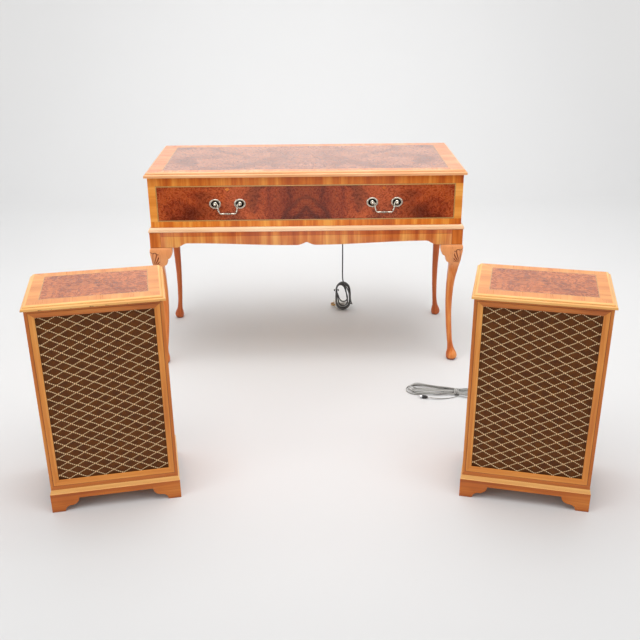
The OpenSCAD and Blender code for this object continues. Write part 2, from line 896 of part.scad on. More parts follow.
module platter() {
    r = platter_d / 2;
    z0 = platter_low;
    color("gainsboro")
    console()
    translate([platter_x, platter_y, 0])
        rotate_extrude($fn = 96)
            polygon([
                [shaft_r + fit, z0], [drive_r, z0], [drive_r, platter_top - 5], [r - 6, platter_top - 5],
                [r - 6, z0 + 1], [r - 1.5, z0 + 1], [r, z0 + 3], [r, platter_top - 2], [r - 2, platter_top],
                [shaft_r + fit, platter_top]
            ]);
}

module platter_mat() {
    r = platter_d / 2 - 5;
    ribs = [for (i = [0:6]) r - 8 - 16 * i];
    color("black")
    console()
    translate([platter_x, platter_y, platter_top])
        rotate_extrude($fn = 96)
            difference() {
                translate([shaft_r + seat, 0])
                    square([r - shaft_r - seat, mat_t]);
                for (x = ribs)
                    translate([x - 4, mat_t - 1])
                        square([3, 2]);
            }
}

module deck_motor() {
    color("lightslategray")
    console()
    difference() {
        union() {
            rod_z([pulley_x, pulley_y, plate_z - 42], 28, 36);
            rod_z([pulley_x, pulley_y, plate_z - 8], 8, 8);
            for (sy = [-1, 1])
                rod_z([pulley_x, pulley_y + sy * 20, plate_z - 6], 3, 6);
        }
        rod_z([pulley_x, pulley_y, plate_z - 24], small_pin_r + fit, 30);
    }
}

module motor_pulley() {
    color("goldenrod")
    console() {
        rod_z([pulley_x, pulley_y, plate_z - 20], small_pin_r, plate_t + 30);
        translate([pulley_x, pulley_y, plate_top + 4])
            rotate_extrude()
                polygon([[0, 0], [pulley_r + 1, 0], [pulley_r, 1], [pulley_r, 5], [pulley_r + 1, 6], [0, 6]]);
    }
}

module drive_belt() {
    z0 = plate_top + 5.3;
    inner = seat;
    color("black")
    console()
    translate([0, 0, z0])
        linear_extrude(3.4)
            difference() {
                hull() {
                    translate([platter_x, platter_y]) circle(drive_r + inner + belt_t, $fn = 64);
                    translate([pulley_x, pulley_y]) circle(pulley_r + inner + belt_t, $fn = 24);
                }
                hull() {
                    translate([platter_x, platter_y]) circle(drive_r + inner, $fn = 64);
                    translate([pulley_x, pulley_y]) circle(pulley_r + inner, $fn = 24);
                }
            }
}

arm_rest_y = arm_y - 170;

module arm_supports() {
    color("gray")
    console() {
        difference() {
            union() {
                rod_z([arm_x, arm_y, plate_top], 17, 4);
                rod_z([arm_x, arm_y, plate_top + 4], 12, arm_z - plate_top - 16);
            }
            rod_z([arm_x, arm_y, arm_z - 28], gimbal_pin_r + fit, 20);
        }
        rod_z([arm_x, arm_rest_y, plate_top], 7, 3);
        rod_z([arm_x, arm_rest_y, plate_top + 3], 3, arm_z - arm_r - seat - plate_top - 5);
        box([arm_x - 6, arm_rest_y - 4, arm_z - arm_r - seat - 2.5],
            [arm_x + 6, arm_rest_y + 4, arm_z - arm_r - seat]);
    }
}

module arm_gimbal() {
    base = arm_z - 12 + seat;
    color("silver")
    console()
    difference() {
        union() {
            rod_z([arm_x, arm_y, arm_z - 26], gimbal_pin_r, 15);
            rod_z([arm_x, arm_y, base], 13, 5 - seat);
            for (sx = [-1, 1])
                box([arm_x + sx * 10.5 - 1.5, arm_y - 6, base + 2], [arm_x + sx * 10.5 + 1.5, arm_y + 6, arm_z + 5]);
        }
        rod_x([arm_x - 14, arm_y, arm_z], small_pin_r + fit, 28);
    }
}

module arm_tube() {
    color("lightgray")
    console() {
        box([arm_x - 7, arm_y - 8, arm_z - 5], [arm_x + 7, arm_y + 8, arm_z + 6]);
        rod_x([arm_x - 11.8, arm_y, arm_z], small_pin_r, 23.6);
        rod_y([arm_x, arm_y - arm_l + 30, arm_z], arm_r, arm_l - 32);
        rod_y([arm_x, arm_y + 5, arm_z], 5, 45);
    }
}

module headshell() {
    y1 = arm_y - arm_l + 30;
    color("dimgray")
    console() {
        difference() {
            rod_y([arm_x, y1 - 6, arm_z], 5, 14);
            rod_y([arm_x, y1, arm_z], arm_r, 10);
        }
        box([arm_x - 9, y1 - 42, arm_z - 2], [arm_x + 9, y1 - 4, arm_z + 2]);
        box([arm_x - 7, y1 - 38, arm_z - 12], [arm_x + 7, y1 - 14, arm_z - 2]);
        // the stylus stands a record's thickness above the mat
        box([arm_x - 0.7, y1 - 34, platter_top + mat_t + record_t], [arm_x + 0.7, y1 - 30, arm_z - 12]);
        rod_x([arm_x + 8, y1 - 30, arm_z], 1.2, 10);
    }
}

module counterweight() {
    color("gray")
    console()
    difference() {
        rod_y([arm_x, arm_y + 22, arm_z], 14, 24);
        rod_y([arm_x, arm_y + 21, arm_z], 5, 26);
    }
}

// Turned control knob on a shaft that runs in a drilled panel
module knob(x, y, z, r, h, shaft) {
    translate([x, y, 0]) {
        rod_z([0, 0, z - shaft], knob_shaft_r, shaft + 1);
        translate([0, 0, z + seat])
            rotate_extrude()
                polygon([
                    [0, 0], [r, 0], [r, 2], [r - 1.5, 3.2], [r - 2.2, h - 1.5], [r - 3.5, h], [0, h]
                ]);
        box([-0.6, r - 8, z + h - 1], [0.6, r - 3.4, z + h + seat + 0.6]);
    }
}

module speed_knob() {
    color("black")
    console()
    knob(speed_x, speed_y, plate_top, 13, 14, 12);
}

// Radio and amplifier

module tuner_fascia() {
    color("darkkhaki")
    console()
    difference() {
        union() {
            translate([radio_x, radio_y + radio_d / 2, panel_z])
                linear_extrude(plate_t)
                    rounded(radio_w, radio_d, 6);
            box([radio_x - dial_w / 2 - 2, dial_y - dial_d / 2 - 2, dial_floor - 1.5],
                [radio_x + dial_w / 2 + 2, dial_y + dial_d / 2 + 2, panel_top]);
        }
        box([radio_x - dial_w / 2, dial_y - dial_d / 2, dial_floor],
            [radio_x + dial_w / 2, dial_y + dial_d / 2, panel_top + 1]);
        for (x = concat(small_knobs, [tuning_x]))
            rod_z([x, knob_y, panel_z - 1], knob_shaft_r + fit, plate_t + 2);
        for (x = button_xs)
            box([x - 9.3, knob_y - 6.3, panel_z - 1], [x + 9.3, knob_y + 6.3, panel_top + 1]);
    }
    console()
    rod_x([radio_x - dial_w / 2, rail_at_y, rail_at_z], rail_r, dial_w);
}

module dial_glass() {
    color("lightcyan", 0.4)
    console()
    box([radio_x - dial_w / 2 - 5, dial_y - dial_d / 2 - 4, panel_top],
        [radio_x + dial_w / 2 + 5, dial_y + dial_d / 2 + 4, panel_top + 2]);
}

module dial_pointer() {
    color("red")
    console()
    difference() {
        union() {
            box([radio_x - 0.7, rail_at_y, dial_floor + 6], [radio_x + 0.7, dial_y + 15, dial_floor + 8]);
            box([radio_x - 6, rail_at_y - 2.7, dial_floor + 1], [radio_x + 6, rail_at_y + 3, dial_floor + 7]);
        }
        rod_x([radio_x - 7, rail_at_y, rail_at_z], rail_r + fit, 14);
    }
}

module tuning_knob() {
    color("gold")
    console()
    knob(tuning_x, knob_y, panel_top, 24, 18, pot_shaft);
}

module volume_knob() {
    color("gold")
    console()
    knob(small_knobs[0], knob_y, panel_top, 15, 15, pot_shaft);
}

module balance_knob() {
    color("gold")
    console()
    knob(small_knobs[1], knob_y, panel_top, 15, 15, pot_shaft);
}

module tone_knob() {
    color("gold")
    console()
    knob(small_knobs[2], knob_y, panel_top, 15, 15, pot_shaft);
}

// A push button: cap, the flange that stops it under the panel, and its plunger
module push_button(x) {
    box([x - 9, knob_y - 6, panel_z - 2], [x + 9, knob_y + 6, panel_top + 6]);
    box([x - 10.5, knob_y - 7.5, panel_z - 2 - seat], [x + 10.5, knob_y + 7.5, panel_z - seat]);
    rod_z([x, knob_y, panel_z - 28], plunger_r, 27);
}

module power_button() {
    color("ivory")
    console()
    push_button(button_xs[0]);
}

module band_button() {
    color("ivory")
    console()
    push_button(button_xs[1]);
}

module amplifier_chassis() {
    base = case_z + board_t;
    y0 = radio_y + 20;
    y1 = 380;
    color("lightsteelblue")
    console() {
        box([radio_x - 210, y0, base], [radio_x + 210, y1, base + 2]);
        box([radio_x - 210, y0, base], [radio_x + 210, y0 + 2, base + 40]);
        box([radio_x - 210, y1 - 2, base], [radio_x + 210, y1, base + 26]);
        // printed board on four pillars
        for (sx = [-190, 100], y = [200, 350])
            rod_z([radio_x + sx, y, base + 2], 4, 8);
        box([radio_x - 200, 190, base + 10], [radio_x + 112, 360, base + 12]);
        // reservoir capacitors and the tuner's screened box on the board
        for (i = [0:2])
            rod_z([radio_x - 170 + 36 * i, 325, base + 12], 13, 34);
        box([radio_x - 20, 215, base + 12], [radio_x + 70, 285, base + 40]);
        // mains transformer
        box([radio_x + 128, 255, base + 2], [radio_x + 198, 320, base + 58]);
        box([radio_x + 138, 240, base + 12], [radio_x + 188, 335, base + 46]);
        // heat sink
        box([radio_x - 190, 208, base + 12], [radio_x - 60, 212, base + 44]);
        for (i = [0:9])
            box([radio_x - 188 + 13.5 * i, 212, base + 14], [radio_x - 185 + 13.5 * i, 228, base + 44]);
        // bracket with the controls' pots under the panel
        box([radio_x - 210, knob_y - 18, base], [radio_x - 208, knob_y + 18, base + 44]);
        box([radio_x + 208, knob_y - 18, base], [radio_x + 210, knob_y + 18, base + 44]);
        difference() {
            union() {
                box([radio_x - 210, knob_y - 18, base + 42], [radio_x + 210, knob_y + 18, base + 44]);
                for (x = concat(small_knobs, [tuning_x]))
                    rod_z([x, knob_y, base + 44], 11, 10);
                for (x = button_xs)
                    box([x - 8, knob_y - 6, base + 44], [x + 8, knob_y + 6, base + 72]);
            }
            for (x = concat(small_knobs, [tuning_x]))
                rod_z([x, knob_y, base + 46], knob_shaft_r + fit, 10);
            for (x = button_xs)
                rod_z([x, knob_y, base + 46], plunger_r + fit, 30);
        }
    }
}

// Mains lead

module mains_gland() {
    color("dimgray")
    console()
    difference() {
        union() {
            rod_y([lead_x, lid_d - back_t - 3, lead_z], 4.9, back_t + 5);
            rod_y([lead_x, lid_d, lead_z], 8, 3);
            translate([lead_x, lid_d + 3, lead_z])
                rotate([-90, 0, 0])
                    cylinder(r1 = 6, r2 = 4, h = 22);
        }
        rod_y([lead_x, lid_d - 10, lead_z], 2.2, 40);
    }
}

module mains_lead() {
    color("darkslategray")
    console()
    tube(mains_route, mains_r);
}

// Outline of a hank: a long band with round ends, open in the middle
module hank_outline(w, h, band) {
    difference() {
        rounded(w, h, min(w, h) / 2 - 0.1);
        rounded(w - 2 * band, h - 2 * band, min(w, h) / 2 - band - 0.1);
    }
}

module mains_hank() {
    color("darkslategray")
    console()
    translate([mains_hank_at[0], mains_hank_at[1] + mains_hank_t / 2, mains_hank_h / 2])
        rotate([90, 0, 0])
            linear_extrude(mains_hank_t)
                hank_outline(mains_hank_w, mains_hank_h, 20);
}

// Three-pin plug, lying on the floor behind the hank
module mains_plug() {
    color("ivory")
    console()
    translate([mains_hank_at[0] - 12, mains_hank_at[1] + 40, 0])
        rotate(14) {
            translate([0, 0, 0.1])
                linear_extrude(26)
                    difference() {
                        rounded(50, 50, 14);
                        translate([-26, -30]) square([6, 60]);
                    }
            for (sy = [-11, 11])
                box([-34, sy - 2, 10], [-19, sy + 2, 16]);
            box([-37, -3, 8], [-19, 3, 12]);
            rod_x([24, 0, 12], 6, 8);
        }
}

// Loudspeakers

spk_profile = concat(
    [[0, 0]],
    quarter([0, 4], [4.5, 7.5], true, 4),
    quarter([6, 7.5], [13.7, spk_top_t], true, 5),
    [[13.7, 0]]
);

module speaker_tops() {
    color("saddlebrown")
    both_speakers()
    translate([0, 0, spk_case_z1]) {
        moulding_three_sides(spk_top_w, spk_top_d, 13.7, spk_profile);
        box([-spk_top_w / 2 + 13.7, 13.7, 0], [spk_top_w / 2 - 13.7, spk_top_d, spk_top_t]);
    }
}

// Front of the case: a flat strip, then a bevel that slopes in to the grille
slope_w = 16;
strip_w = spk_half - grille_w / 2;
frame_profile = [
    [0, 0], [0, 12], [strip_w - slope_w, 12], [strip_w, 7.2], [strip_w, 6.1], [14, 6.1], [14, 0]
];

module speaker_case() {
    z_low = grille_z0 - strip_w;
    z_high = grille_z1 + strip_w;
    front = spk_set_back;
    intersection() {
        translate([-spk_half, front + 12, z_low])
            rotate([90, 0, 0])
                moulding_four_sides(spk_case_w, z_high - z_low, strip_w, frame_profile);
        box([-spk_half, front, z_low], [spk_half, front + 12, spk_case_z1]);
    }
    box([-spk_half, front, spk_plinth_h], [spk_half, front + 12, z_low]);
    difference() {
        box([-spk_half, front + 12, spk_plinth_h], [spk_half, spk_case_back, spk_case_z1]);
        box([-spk_half + spk_wall, front, spk_plinth_h + spk_wall],
            [spk_half - spk_wall, spk_case_back + 1, spk_case_z1 - spk_wall]);
    }
}

module speaker_case_left() {
    color("chocolate")
    place_speaker(false)
    speaker_case();
}

module speaker_case_right() {
    color("chocolate")
    place_speaker(true)
    speaker_case();
}

// Bracket plinth with an ogee cut between the feet
foot_w = 36;
cut_z = 40;
plinth_t = 12;
function foot_cut(w) = concat(
    quarter([foot_w, 0], [foot_w + 18, 18], true, 6),
    quarter([foot_w + 18, 18], [foot_w + 41, cut_z], false, 6),
    quarter([w - foot_w - 41, cut_z], [w - foot_w - 18, 18], true, 6),
    quarter([w - foot_w - 18, 18], [w - foot_w, 0], false, 6)
);
plinth_profile = [[0, 0], [0, spk_plinth_h - 12], [4, spk_plinth_h], [plinth_t, spk_plinth_h], [plinth_t, 0]];

module plinth_cut(w) {
    translate([0, 2 * plinth_t, 0])
        rotate([90, 0, 0])
            linear_extrude(3 * plinth_t)
                polygon(concat([[foot_w, -1]], foot_cut(w), [[w - foot_w, -1]]));
}

module speaker_plinth() {
    d = spk_top_d;
    difference() {
        translate([-spk_plinth_w / 2, 0, 0])
            moulding_four_sides(spk_plinth_w, d, plinth_t, plinth_profile);
        translate([-spk_plinth_w / 2, 0, 0])
            plinth_cut(spk_plinth_w);
        for (side = [0, 1])
            mirror([side, 0, 0])
                translate([spk_plinth_w / 2, 0, 0])
                    rotate(90)
                        plinth_cut(d);
    }
}

module speaker_plinths() {
    color("peru")
    both_speakers()
    speaker_plinth();
}

// Woven grille: cloth on a board, under a lattice of raised cords in two layers
sheet_w = 6.5 * diamond_w;
sheet_h = 19 * diamond_h;
lattice_slope = diamond_h / diamond_w;

// The cords that fall to one side: each is clipped to the sheet by its own end points
module cord_layer(y, falls) {
    reach = lattice_slope * sheet_w;
    for (c = [-floor(reach / diamond_h) * diamond_h + diamond_h / 2:diamond_h:sheet_h]) {
        x0 = max(0, -c / lattice_slope);
        x1 = min(sheet_w, (sheet_h - c) / lattice_slope);
        z0 = c + lattice_slope * x0;
        z1 = c + lattice_slope * x1;
        if (x1 - x0 > diamond_w / 4)
            bar_between(falls ? sheet_w - x0 : x0, z0, falls ? sheet_w - x1 : x1, z1, y, strand_r);
    }
}

module grille() {
    z0 = (grille_z0 + grille_z1 - sheet_h) / 2;
    translate([-sheet_w / 2, 0, z0]) {
        cord_layer(lattice_y + strand_r, false);
        cord_layer(lattice_y + 3 * strand_r + 0.02, true);
        box([0, cloth_y, 0], [sheet_w, cloth_y + cloth_t, sheet_h]);
    }
}

module grille_left() {
    color("rosybrown")
    place_speaker(false)
    grille();
}

module grille_right() {
    color("rosybrown")
    place_speaker(true)
    grille();
}

module baffles() {
    color("burlywood")
    both_speakers()
    difference() {
        box([-spk_half + spk_wall, baffle_y, spk_plinth_h + spk_wall],
            [spk_half - spk_wall, baffle_y + baffle_t, spk_case_z1 - spk_wall]);
        rod_y([0, 0, woofer_z], woofer_hole, far);
        rod_y([0, 0, tweeter_z], tweeter_hole, far);
    }
}

module woofers() {
    y = baffle_y + baffle_t;
    r = woofer_hole;
    color("dimgray")
    both_speakers()
    translate([0, y, woofer_z])
        rotate([-90, 0, 0])
            rotate_extrude()
                polygon([
                    [0, 30], [20, 24], [r - 12, 1], [r - 4, 3], [r, 0], [r + 10, 0], [r + 10, 3], [r + 2, 4],
                    [44, 40], [44, 62], [0, 62]
                ]);
}

module tweeters() {
    y = baffle_y + baffle_t;
    r = tweeter_hole;
    color("dimgray")
    both_speakers()
    translate([0, y, tweeter_z])
        rotate([-90, 0, 0])
            rotate_extrude()
                polygon([[0, 12], [8, 9], [r - 3, 0], [r + 8, 0], [r + 8, 3], [22, 14], [22, 32], [0, 32]]);
}

// Back board with the tapered gland of the lead
module speaker_backs() {
    color("sienna")
    both_speakers()
    difference() {
        union() {
            box([-spk_half + spk_wall, spk_case_back - spk_back_t, spk_plinth_h + spk_wall],
                [spk_half - spk_wall, spk_case_back, spk_case_z1 - spk_wall]);
            translate([spk_gland_x, spk_case_back, spk_gland_z])
                rotate([-90, 0, 0])
                    cylinder(r1 = 7, r2 = 4, h = spk_gland_l);
        }
        rod_y([spk_gland_x, spk_case_back - spk_back_t - 1, spk_gland_z], 2, spk_back_t + 30);
    }
}

module speaker_lead() {
    color("gray")
    place_speaker(true)
    tube(speaker_route, speaker_lead_r);
}

module speaker_hank() {
    color("gray")
    place_speaker(true)
    translate([speaker_hank_at[0], speaker_hank_at[1], 0])
        linear_extrude(speaker_hank_h)
            rounded(speaker_hank_l, speaker_hank_w, speaker_hank_w / 2 - 0.1);
}

module speaker_plug() {
    color("black")
    place_speaker(true)
    rod_x([speaker_hank_at[0] - 75, speaker_hank_at[1] - speaker_hank_w / 2 - 6.2, 6.1], 6, 36);
}

case_front();
front_burr_panel();
case_ends();
case_base();
inner_rails();
back_panel();
lower_moulding();
apron();
front_legs();
rear_legs();
knee_brackets();
handle_roses();
deck_board();
case_hinge();
deck_plate();
platter_bearing();
deck_motor();
drive_belt();
arm_supports();
tuner_fascia();
dial_glass();
amplifier_chassis();
mains_gland();
mains_lead();
mains_hank();
mains_plug();
speaker_case_left();
speaker_case_right();
speaker_tops();
speaker_plinths();
grille_left();
grille_right();
baffles();
woofers();
tweeters();
speaker_backs();
speaker_lead();
speaker_hank();
speaker_plug();
lid_panel();
lid_moulding();
lid_hinge();
lid_stay();
bail_left();
bail_right();
platter();
platter_mat();
motor_pulley();
arm_gimbal();
arm_tube();
headshell();
counterweight();
speed_knob();
dial_pointer();
tuning_knob();
volume_knob();
balance_knob();
tone_knob();
power_button();
band_button();
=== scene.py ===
from math import asin, atan2, copysign, cos, degrees, floor, hypot, pi, radians, sin, sqrt

import bmesh
import bpy
from mathutils import Matrix, Vector


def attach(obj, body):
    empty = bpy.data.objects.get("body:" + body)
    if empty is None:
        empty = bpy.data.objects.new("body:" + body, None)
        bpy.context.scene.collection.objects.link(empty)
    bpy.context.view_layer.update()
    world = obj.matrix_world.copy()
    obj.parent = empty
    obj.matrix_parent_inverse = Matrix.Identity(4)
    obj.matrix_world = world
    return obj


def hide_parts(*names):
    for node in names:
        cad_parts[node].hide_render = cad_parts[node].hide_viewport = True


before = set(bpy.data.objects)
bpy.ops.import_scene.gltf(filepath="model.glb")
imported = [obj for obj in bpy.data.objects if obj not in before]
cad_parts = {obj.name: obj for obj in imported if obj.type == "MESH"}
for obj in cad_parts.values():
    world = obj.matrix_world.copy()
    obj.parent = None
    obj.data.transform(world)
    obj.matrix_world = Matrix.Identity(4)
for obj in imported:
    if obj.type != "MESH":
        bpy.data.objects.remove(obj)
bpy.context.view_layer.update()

# Sizes are in millimetres. Coordinates inside shaders, lamps and the camera are in metres. The
# console and each loudspeaker have a frame of their own, as in the CAD source: a place and a turn.
MM = 0.001
CONSOLE_AT = (-34.98885, 246.95779)
PLACES = {"console": (0, 0, 0), "left": (-546, -906, 10.7), "right": (603, -933, -14.3)}

# The console. X names are half widths, Y names places from the front, and Z names heights.
LID_W, LID_D, LID_T, LID_BAND, CONSOLE_H = 1138, 479, 17.7, 12, 740
LID_Z = CONSOLE_H - LID_T
RIM_Z = LID_Z - 0.3
CASE_X, CASE_Y, CASE_Z, BACK_Y = 558, 11, 540, 29
PANEL_X, PANEL_LOW, PANEL_HIGH, BURR_Y = 528, 566, 687, 12
STAND_X, STAND_Y, WAIST_Z, BLOCK_Z, OGEE_Z = 566, 3, 524, 467, 482
FRONT_BLOCK, REAR_BLOCK, BOARD = 40, 36, 18
HANDLE_X, POST, HANDLE_Z, PIVOT_Y, DROP = 280, 44, 625, 5.6, 35

# The loudspeakers: cabinet, grille board and the lattice of twisted cords.
SPK_W, SPK_D, SPK_H, SPK_T, PLINTH_H = 364.5, 252, 622, 12.5, 70
GRILLE_MID, SHEET_W, SHEET_H = 342.5, 316.55, 503.5
DIAMOND_W, DIAMOND_H, CORD_PITCH = 48.7, 26.5, 11.0


def place(name):
    x, y, turn = PLACES[name]
    at = Vector((CONSOLE_AT[0] + x, CONSOLE_AT[1] + y, 0)) * MM
    return Matrix.Translation(at) @ Matrix.Rotation(radians(turn), 4, "Z")


def show(name, data, at=Matrix()):
    """Adds an object with a mesh, a camera or a lamp to the scene."""
    made = bpy.data.objects.new(name, data)
    made.matrix_world = at
    bpy.context.scene.collection.objects.link(made)
    return made


# Camera

CAMERA_AT = (-0.0313, -2.6687, 1.424)
HEADING, PITCH, ROLL = -0.8327, 23.1753, -0.4365
LENS, SENSOR, FARTHEST = 47.449, 36, 60


def set_camera():
    data = bpy.data.cameras.new("camera")
    data.lens, data.sensor_width, data.clip_end = LENS, SENSOR, FARTHEST
    at = Matrix.Translation(CAMERA_AT)
    for turn, axis in ((HEADING, "Z"), (90 - PITCH, "X"), (ROLL, "Z")):
        at = at @ Matrix.Rotation(radians(turn), 4, axis)
    bpy.context.scene.camera = show("camera", data, at)


set_camera()


# Colours. A plain one has three numbers, 0 to 255, as it is seen on a screen; one for a shader's
# socket has four.

def shade(colour):
    seen = [((c / 255 + 0.055) / 1.055) ** 2.4 if c > 10 else c / 3295 for c in colour]
    return tuple(seen) + (1.0,)


def deeper(colour, share):
    return tuple(share * c for c in shade(colour)[:3]) + (1.0,)


def for_socket(colour):
    return shade(colour) if isinstance(colour, tuple) and len(colour) == 3 else colour


# Shader maths

def operator(operation, reflected=False):
    """A method of Wire for one kind of Math node."""
    def apply(self, other=0.0):
        values = (other, self) if reflected else (self, other)
        return self.tree.node("ShaderNodeMath", {"operation": operation}, values)
    return apply


class Wire:
    """The output of a shader node, with arithmetic that adds Math nodes."""

    __add__ = __radd__ = operator("ADD")
    __sub__ = operator("SUBTRACT")
    __rsub__ = operator("SUBTRACT", reflected=True)
    __mul__ = __rmul__ = operator("MULTIPLY")
    __pow__ = operator("POWER")
    __abs__ = operator("ABSOLUTE")
    sine = operator("SINE")
    most = operator("MAXIMUM")

    def __init__(self, tree, socket):
        self.tree, self.socket = tree, socket

    def wrap(self, span):
        return self.tree.node("ShaderNodeMath", {"operation": "WRAP"}, (self, span, 0.0))

    def between(self, low, high, new_low=0.0, new_high=1.0):
        return self.tree.node(
            "ShaderNodeMapRange", {"interpolation_type": "SMOOTHSTEP"},
            {"Value": self, "From Min": low, "From Max": high, "To Min": new_low, "To Max": new_high})


class Nodes:
    """A tree of shader nodes, and the kinds of node that the finishes share."""

    def __init__(self, tree, output):
        self.tree = tree
        tree.nodes.clear()
        self.output = tree.nodes.new(output)

    def join(self, value, socket):
        if isinstance(value, Wire):
            self.tree.links.new(value.socket, socket)
        else:
            socket.default_value = value

    def node(self, kind, settings=None, sockets=(), out=0):
        made = self.tree.nodes.new(kind)
        for key, value in (settings or {}).items():
            if key == "stops":
                ramp = made.color_ramp
                while len(ramp.elements) < len(value):
                    ramp.elements.new(0.5)
                for element, (position, colour) in zip(ramp.elements, value):
                    element.position, element.color = position, colour
            else:
                setattr(made, key, value)
        pairs = sockets.items() if isinstance(sockets, dict) else enumerate(sockets)
        for key, value in pairs:
            self.join(value, made.inputs[key])
        return Wire(self, made.outputs[out])

    def where(self):
        return self.node("ShaderNodeTexCoord", out="Object")

    def parts(self, vector):
        x = self.node("ShaderNodeSeparateXYZ", None, (vector,))
        return [Wire(self, socket) for socket in x.socket.node.outputs]

    def vector(self, x, y, z):
        return self.node("ShaderNodeCombineXYZ", None, (x, y, z))

    def scaled(self, vector, by):
        return self.node("ShaderNodeVectorMath", {"operation": "MULTIPLY"}, (vector, by))

    def shifted(self, vector, by):
        return self.node("ShaderNodeVectorMath", {"operation": "ADD"}, (vector, by))

    def noise(self, at, scale, detail=3.0, rough=0.5, warp=0.0, out=0):
        return self.node("ShaderNodeTexNoise", None, {
            "Vector": at, "Scale": scale, "Detail": detail, "Roughness": rough, "Distortion": warp}, out)

    def hollow(self, reach, samples=8):
        """1 in the open, and less in cuts and corners that are narrower than reach."""
        sockets = {"Distance": reach * MM}
        return self.node("ShaderNodeAmbientOcclusion", {"samples": samples}, sockets, "AO")

    def ramp(self, value, *stops):
        stops = [(position, for_socket(colour)) for position, colour in stops]
        return self.node("ShaderNodeValToRGB", {"stops": stops}, (value,))

    def mix(self, share, first, second):
        """A blend of two colours; 0, 6, 7 and 2 are the places of the node's colour sockets."""
        sockets = {0: share, 6: for_socket(first), 7: for_socket(second)}
        return self.node("ShaderNodeMix", {"data_type": "RGBA"}, sockets, 2)

    def bump(self, height, depth, strength=0.5):
        sockets = {"Strength": strength, "Distance": depth * MM, "Height": height}
        return self.node("ShaderNodeBump", None, sockets)

    def seen(self):
        """1 where the eye, a reflection or a view through glass meets the surface."""
        seen, glossy, through = (self.node("ShaderNodeLightPath", out="Is %s Ray" % ray)
                                 for ray in ("Camera", "Glossy", "Transmission"))
        return seen.most(glossy).most(through)

    def blend(self, share, first, second):
        """Ends the tree with a mix of two shaders."""
        self.join(self.node("ShaderNodeMixShader", None, (share, first, second)), self.output.inputs[0])


class Finish(Nodes):
    """One node material. Its shader's constants are set on the shader's own sockets."""
    made = {}

    def __init__(self, name, **constants):
        material = bpy.data.materials.new(name)
        material.use_nodes = True
        super().__init__(material.node_tree, "ShaderNodeOutputMaterial")
        self.surface = self.node("ShaderNodeBsdfPrincipled")
        self.join(self.surface, self.output.inputs[0])
        self.set(**constants)
        Finish.made[name] = material

    def set(self, **values):
        for socket, value in values.items():
            self.join(value, self.surface.socket.node.inputs[socket.replace("_", " ")])


# Timber

def yew(name, grain, dark, mid, light, gloss, coat, figure, worn_at):
    """Crossbanding and mouldings: bands of tone and fine lines that run along the grain, and shade
    in the corners. worn_at is the height of an edge with small knocks in it, or None."""
    f = Finish(name, Coat_Roughness=0.12, Specular_IOR_Level=0.3, Coat_Weight=coat)
    at = f.where()

    def stretched(along, across):
        return f.scaled(at, [along if axis == grain else across for axis in "xyz"])
    sway = f.noise(at, 6.0, 2.0)
    wide = f.noise(stretched(1.2, 26), 1.0, 4.0, 0.62, 0.25)
    fine = f.noise(stretched(9, 420), 1.0, 3.0, 0.6)
    flame = f.noise(stretched(3.72, 80.6), 1.0, 2.0)
    tone = wide * (0.62 * figure) + sway * 0.16 + flame * 0.22 + 0.31 * (1 - figure)
    colour = f.ramp(tone, (0.38, dark), (0.5, mid), (0.62, light))
    colour = f.mix(fine.between(0.5, 0.72, 0.0, 0.32), colour, dark)
    knots = f.node("ShaderNodeTexVoronoi", None, {"Vector": stretched(1.0, 0.55), "Scale": 22.0})
    colour = f.mix(knots.between(0.02, 0.0, 0.0, 0.5), colour, dark)
    if worn_at is not None:
        edge = abs(f.parts(at)[2] - worn_at * MM).between(0.002, 0.0008)
        knocks = f.noise(at, 70.0, 3.0, 0.6).between(0.56, 0.62) * edge
        colour = f.mix(knocks * 0.85, colour, (112, 54, 22))
    colour = f.mix(f.hollow(7, 6).between(0.85, 0.4, 0.0, 0.8), colour, deeper(dark, 0.3))
    f.set(Base_Color=colour, Roughness=fine.between(0.3, 0.75, gloss - 0.04, gloss + 0.1),
          Normal=f.bump(fine, 0.05))


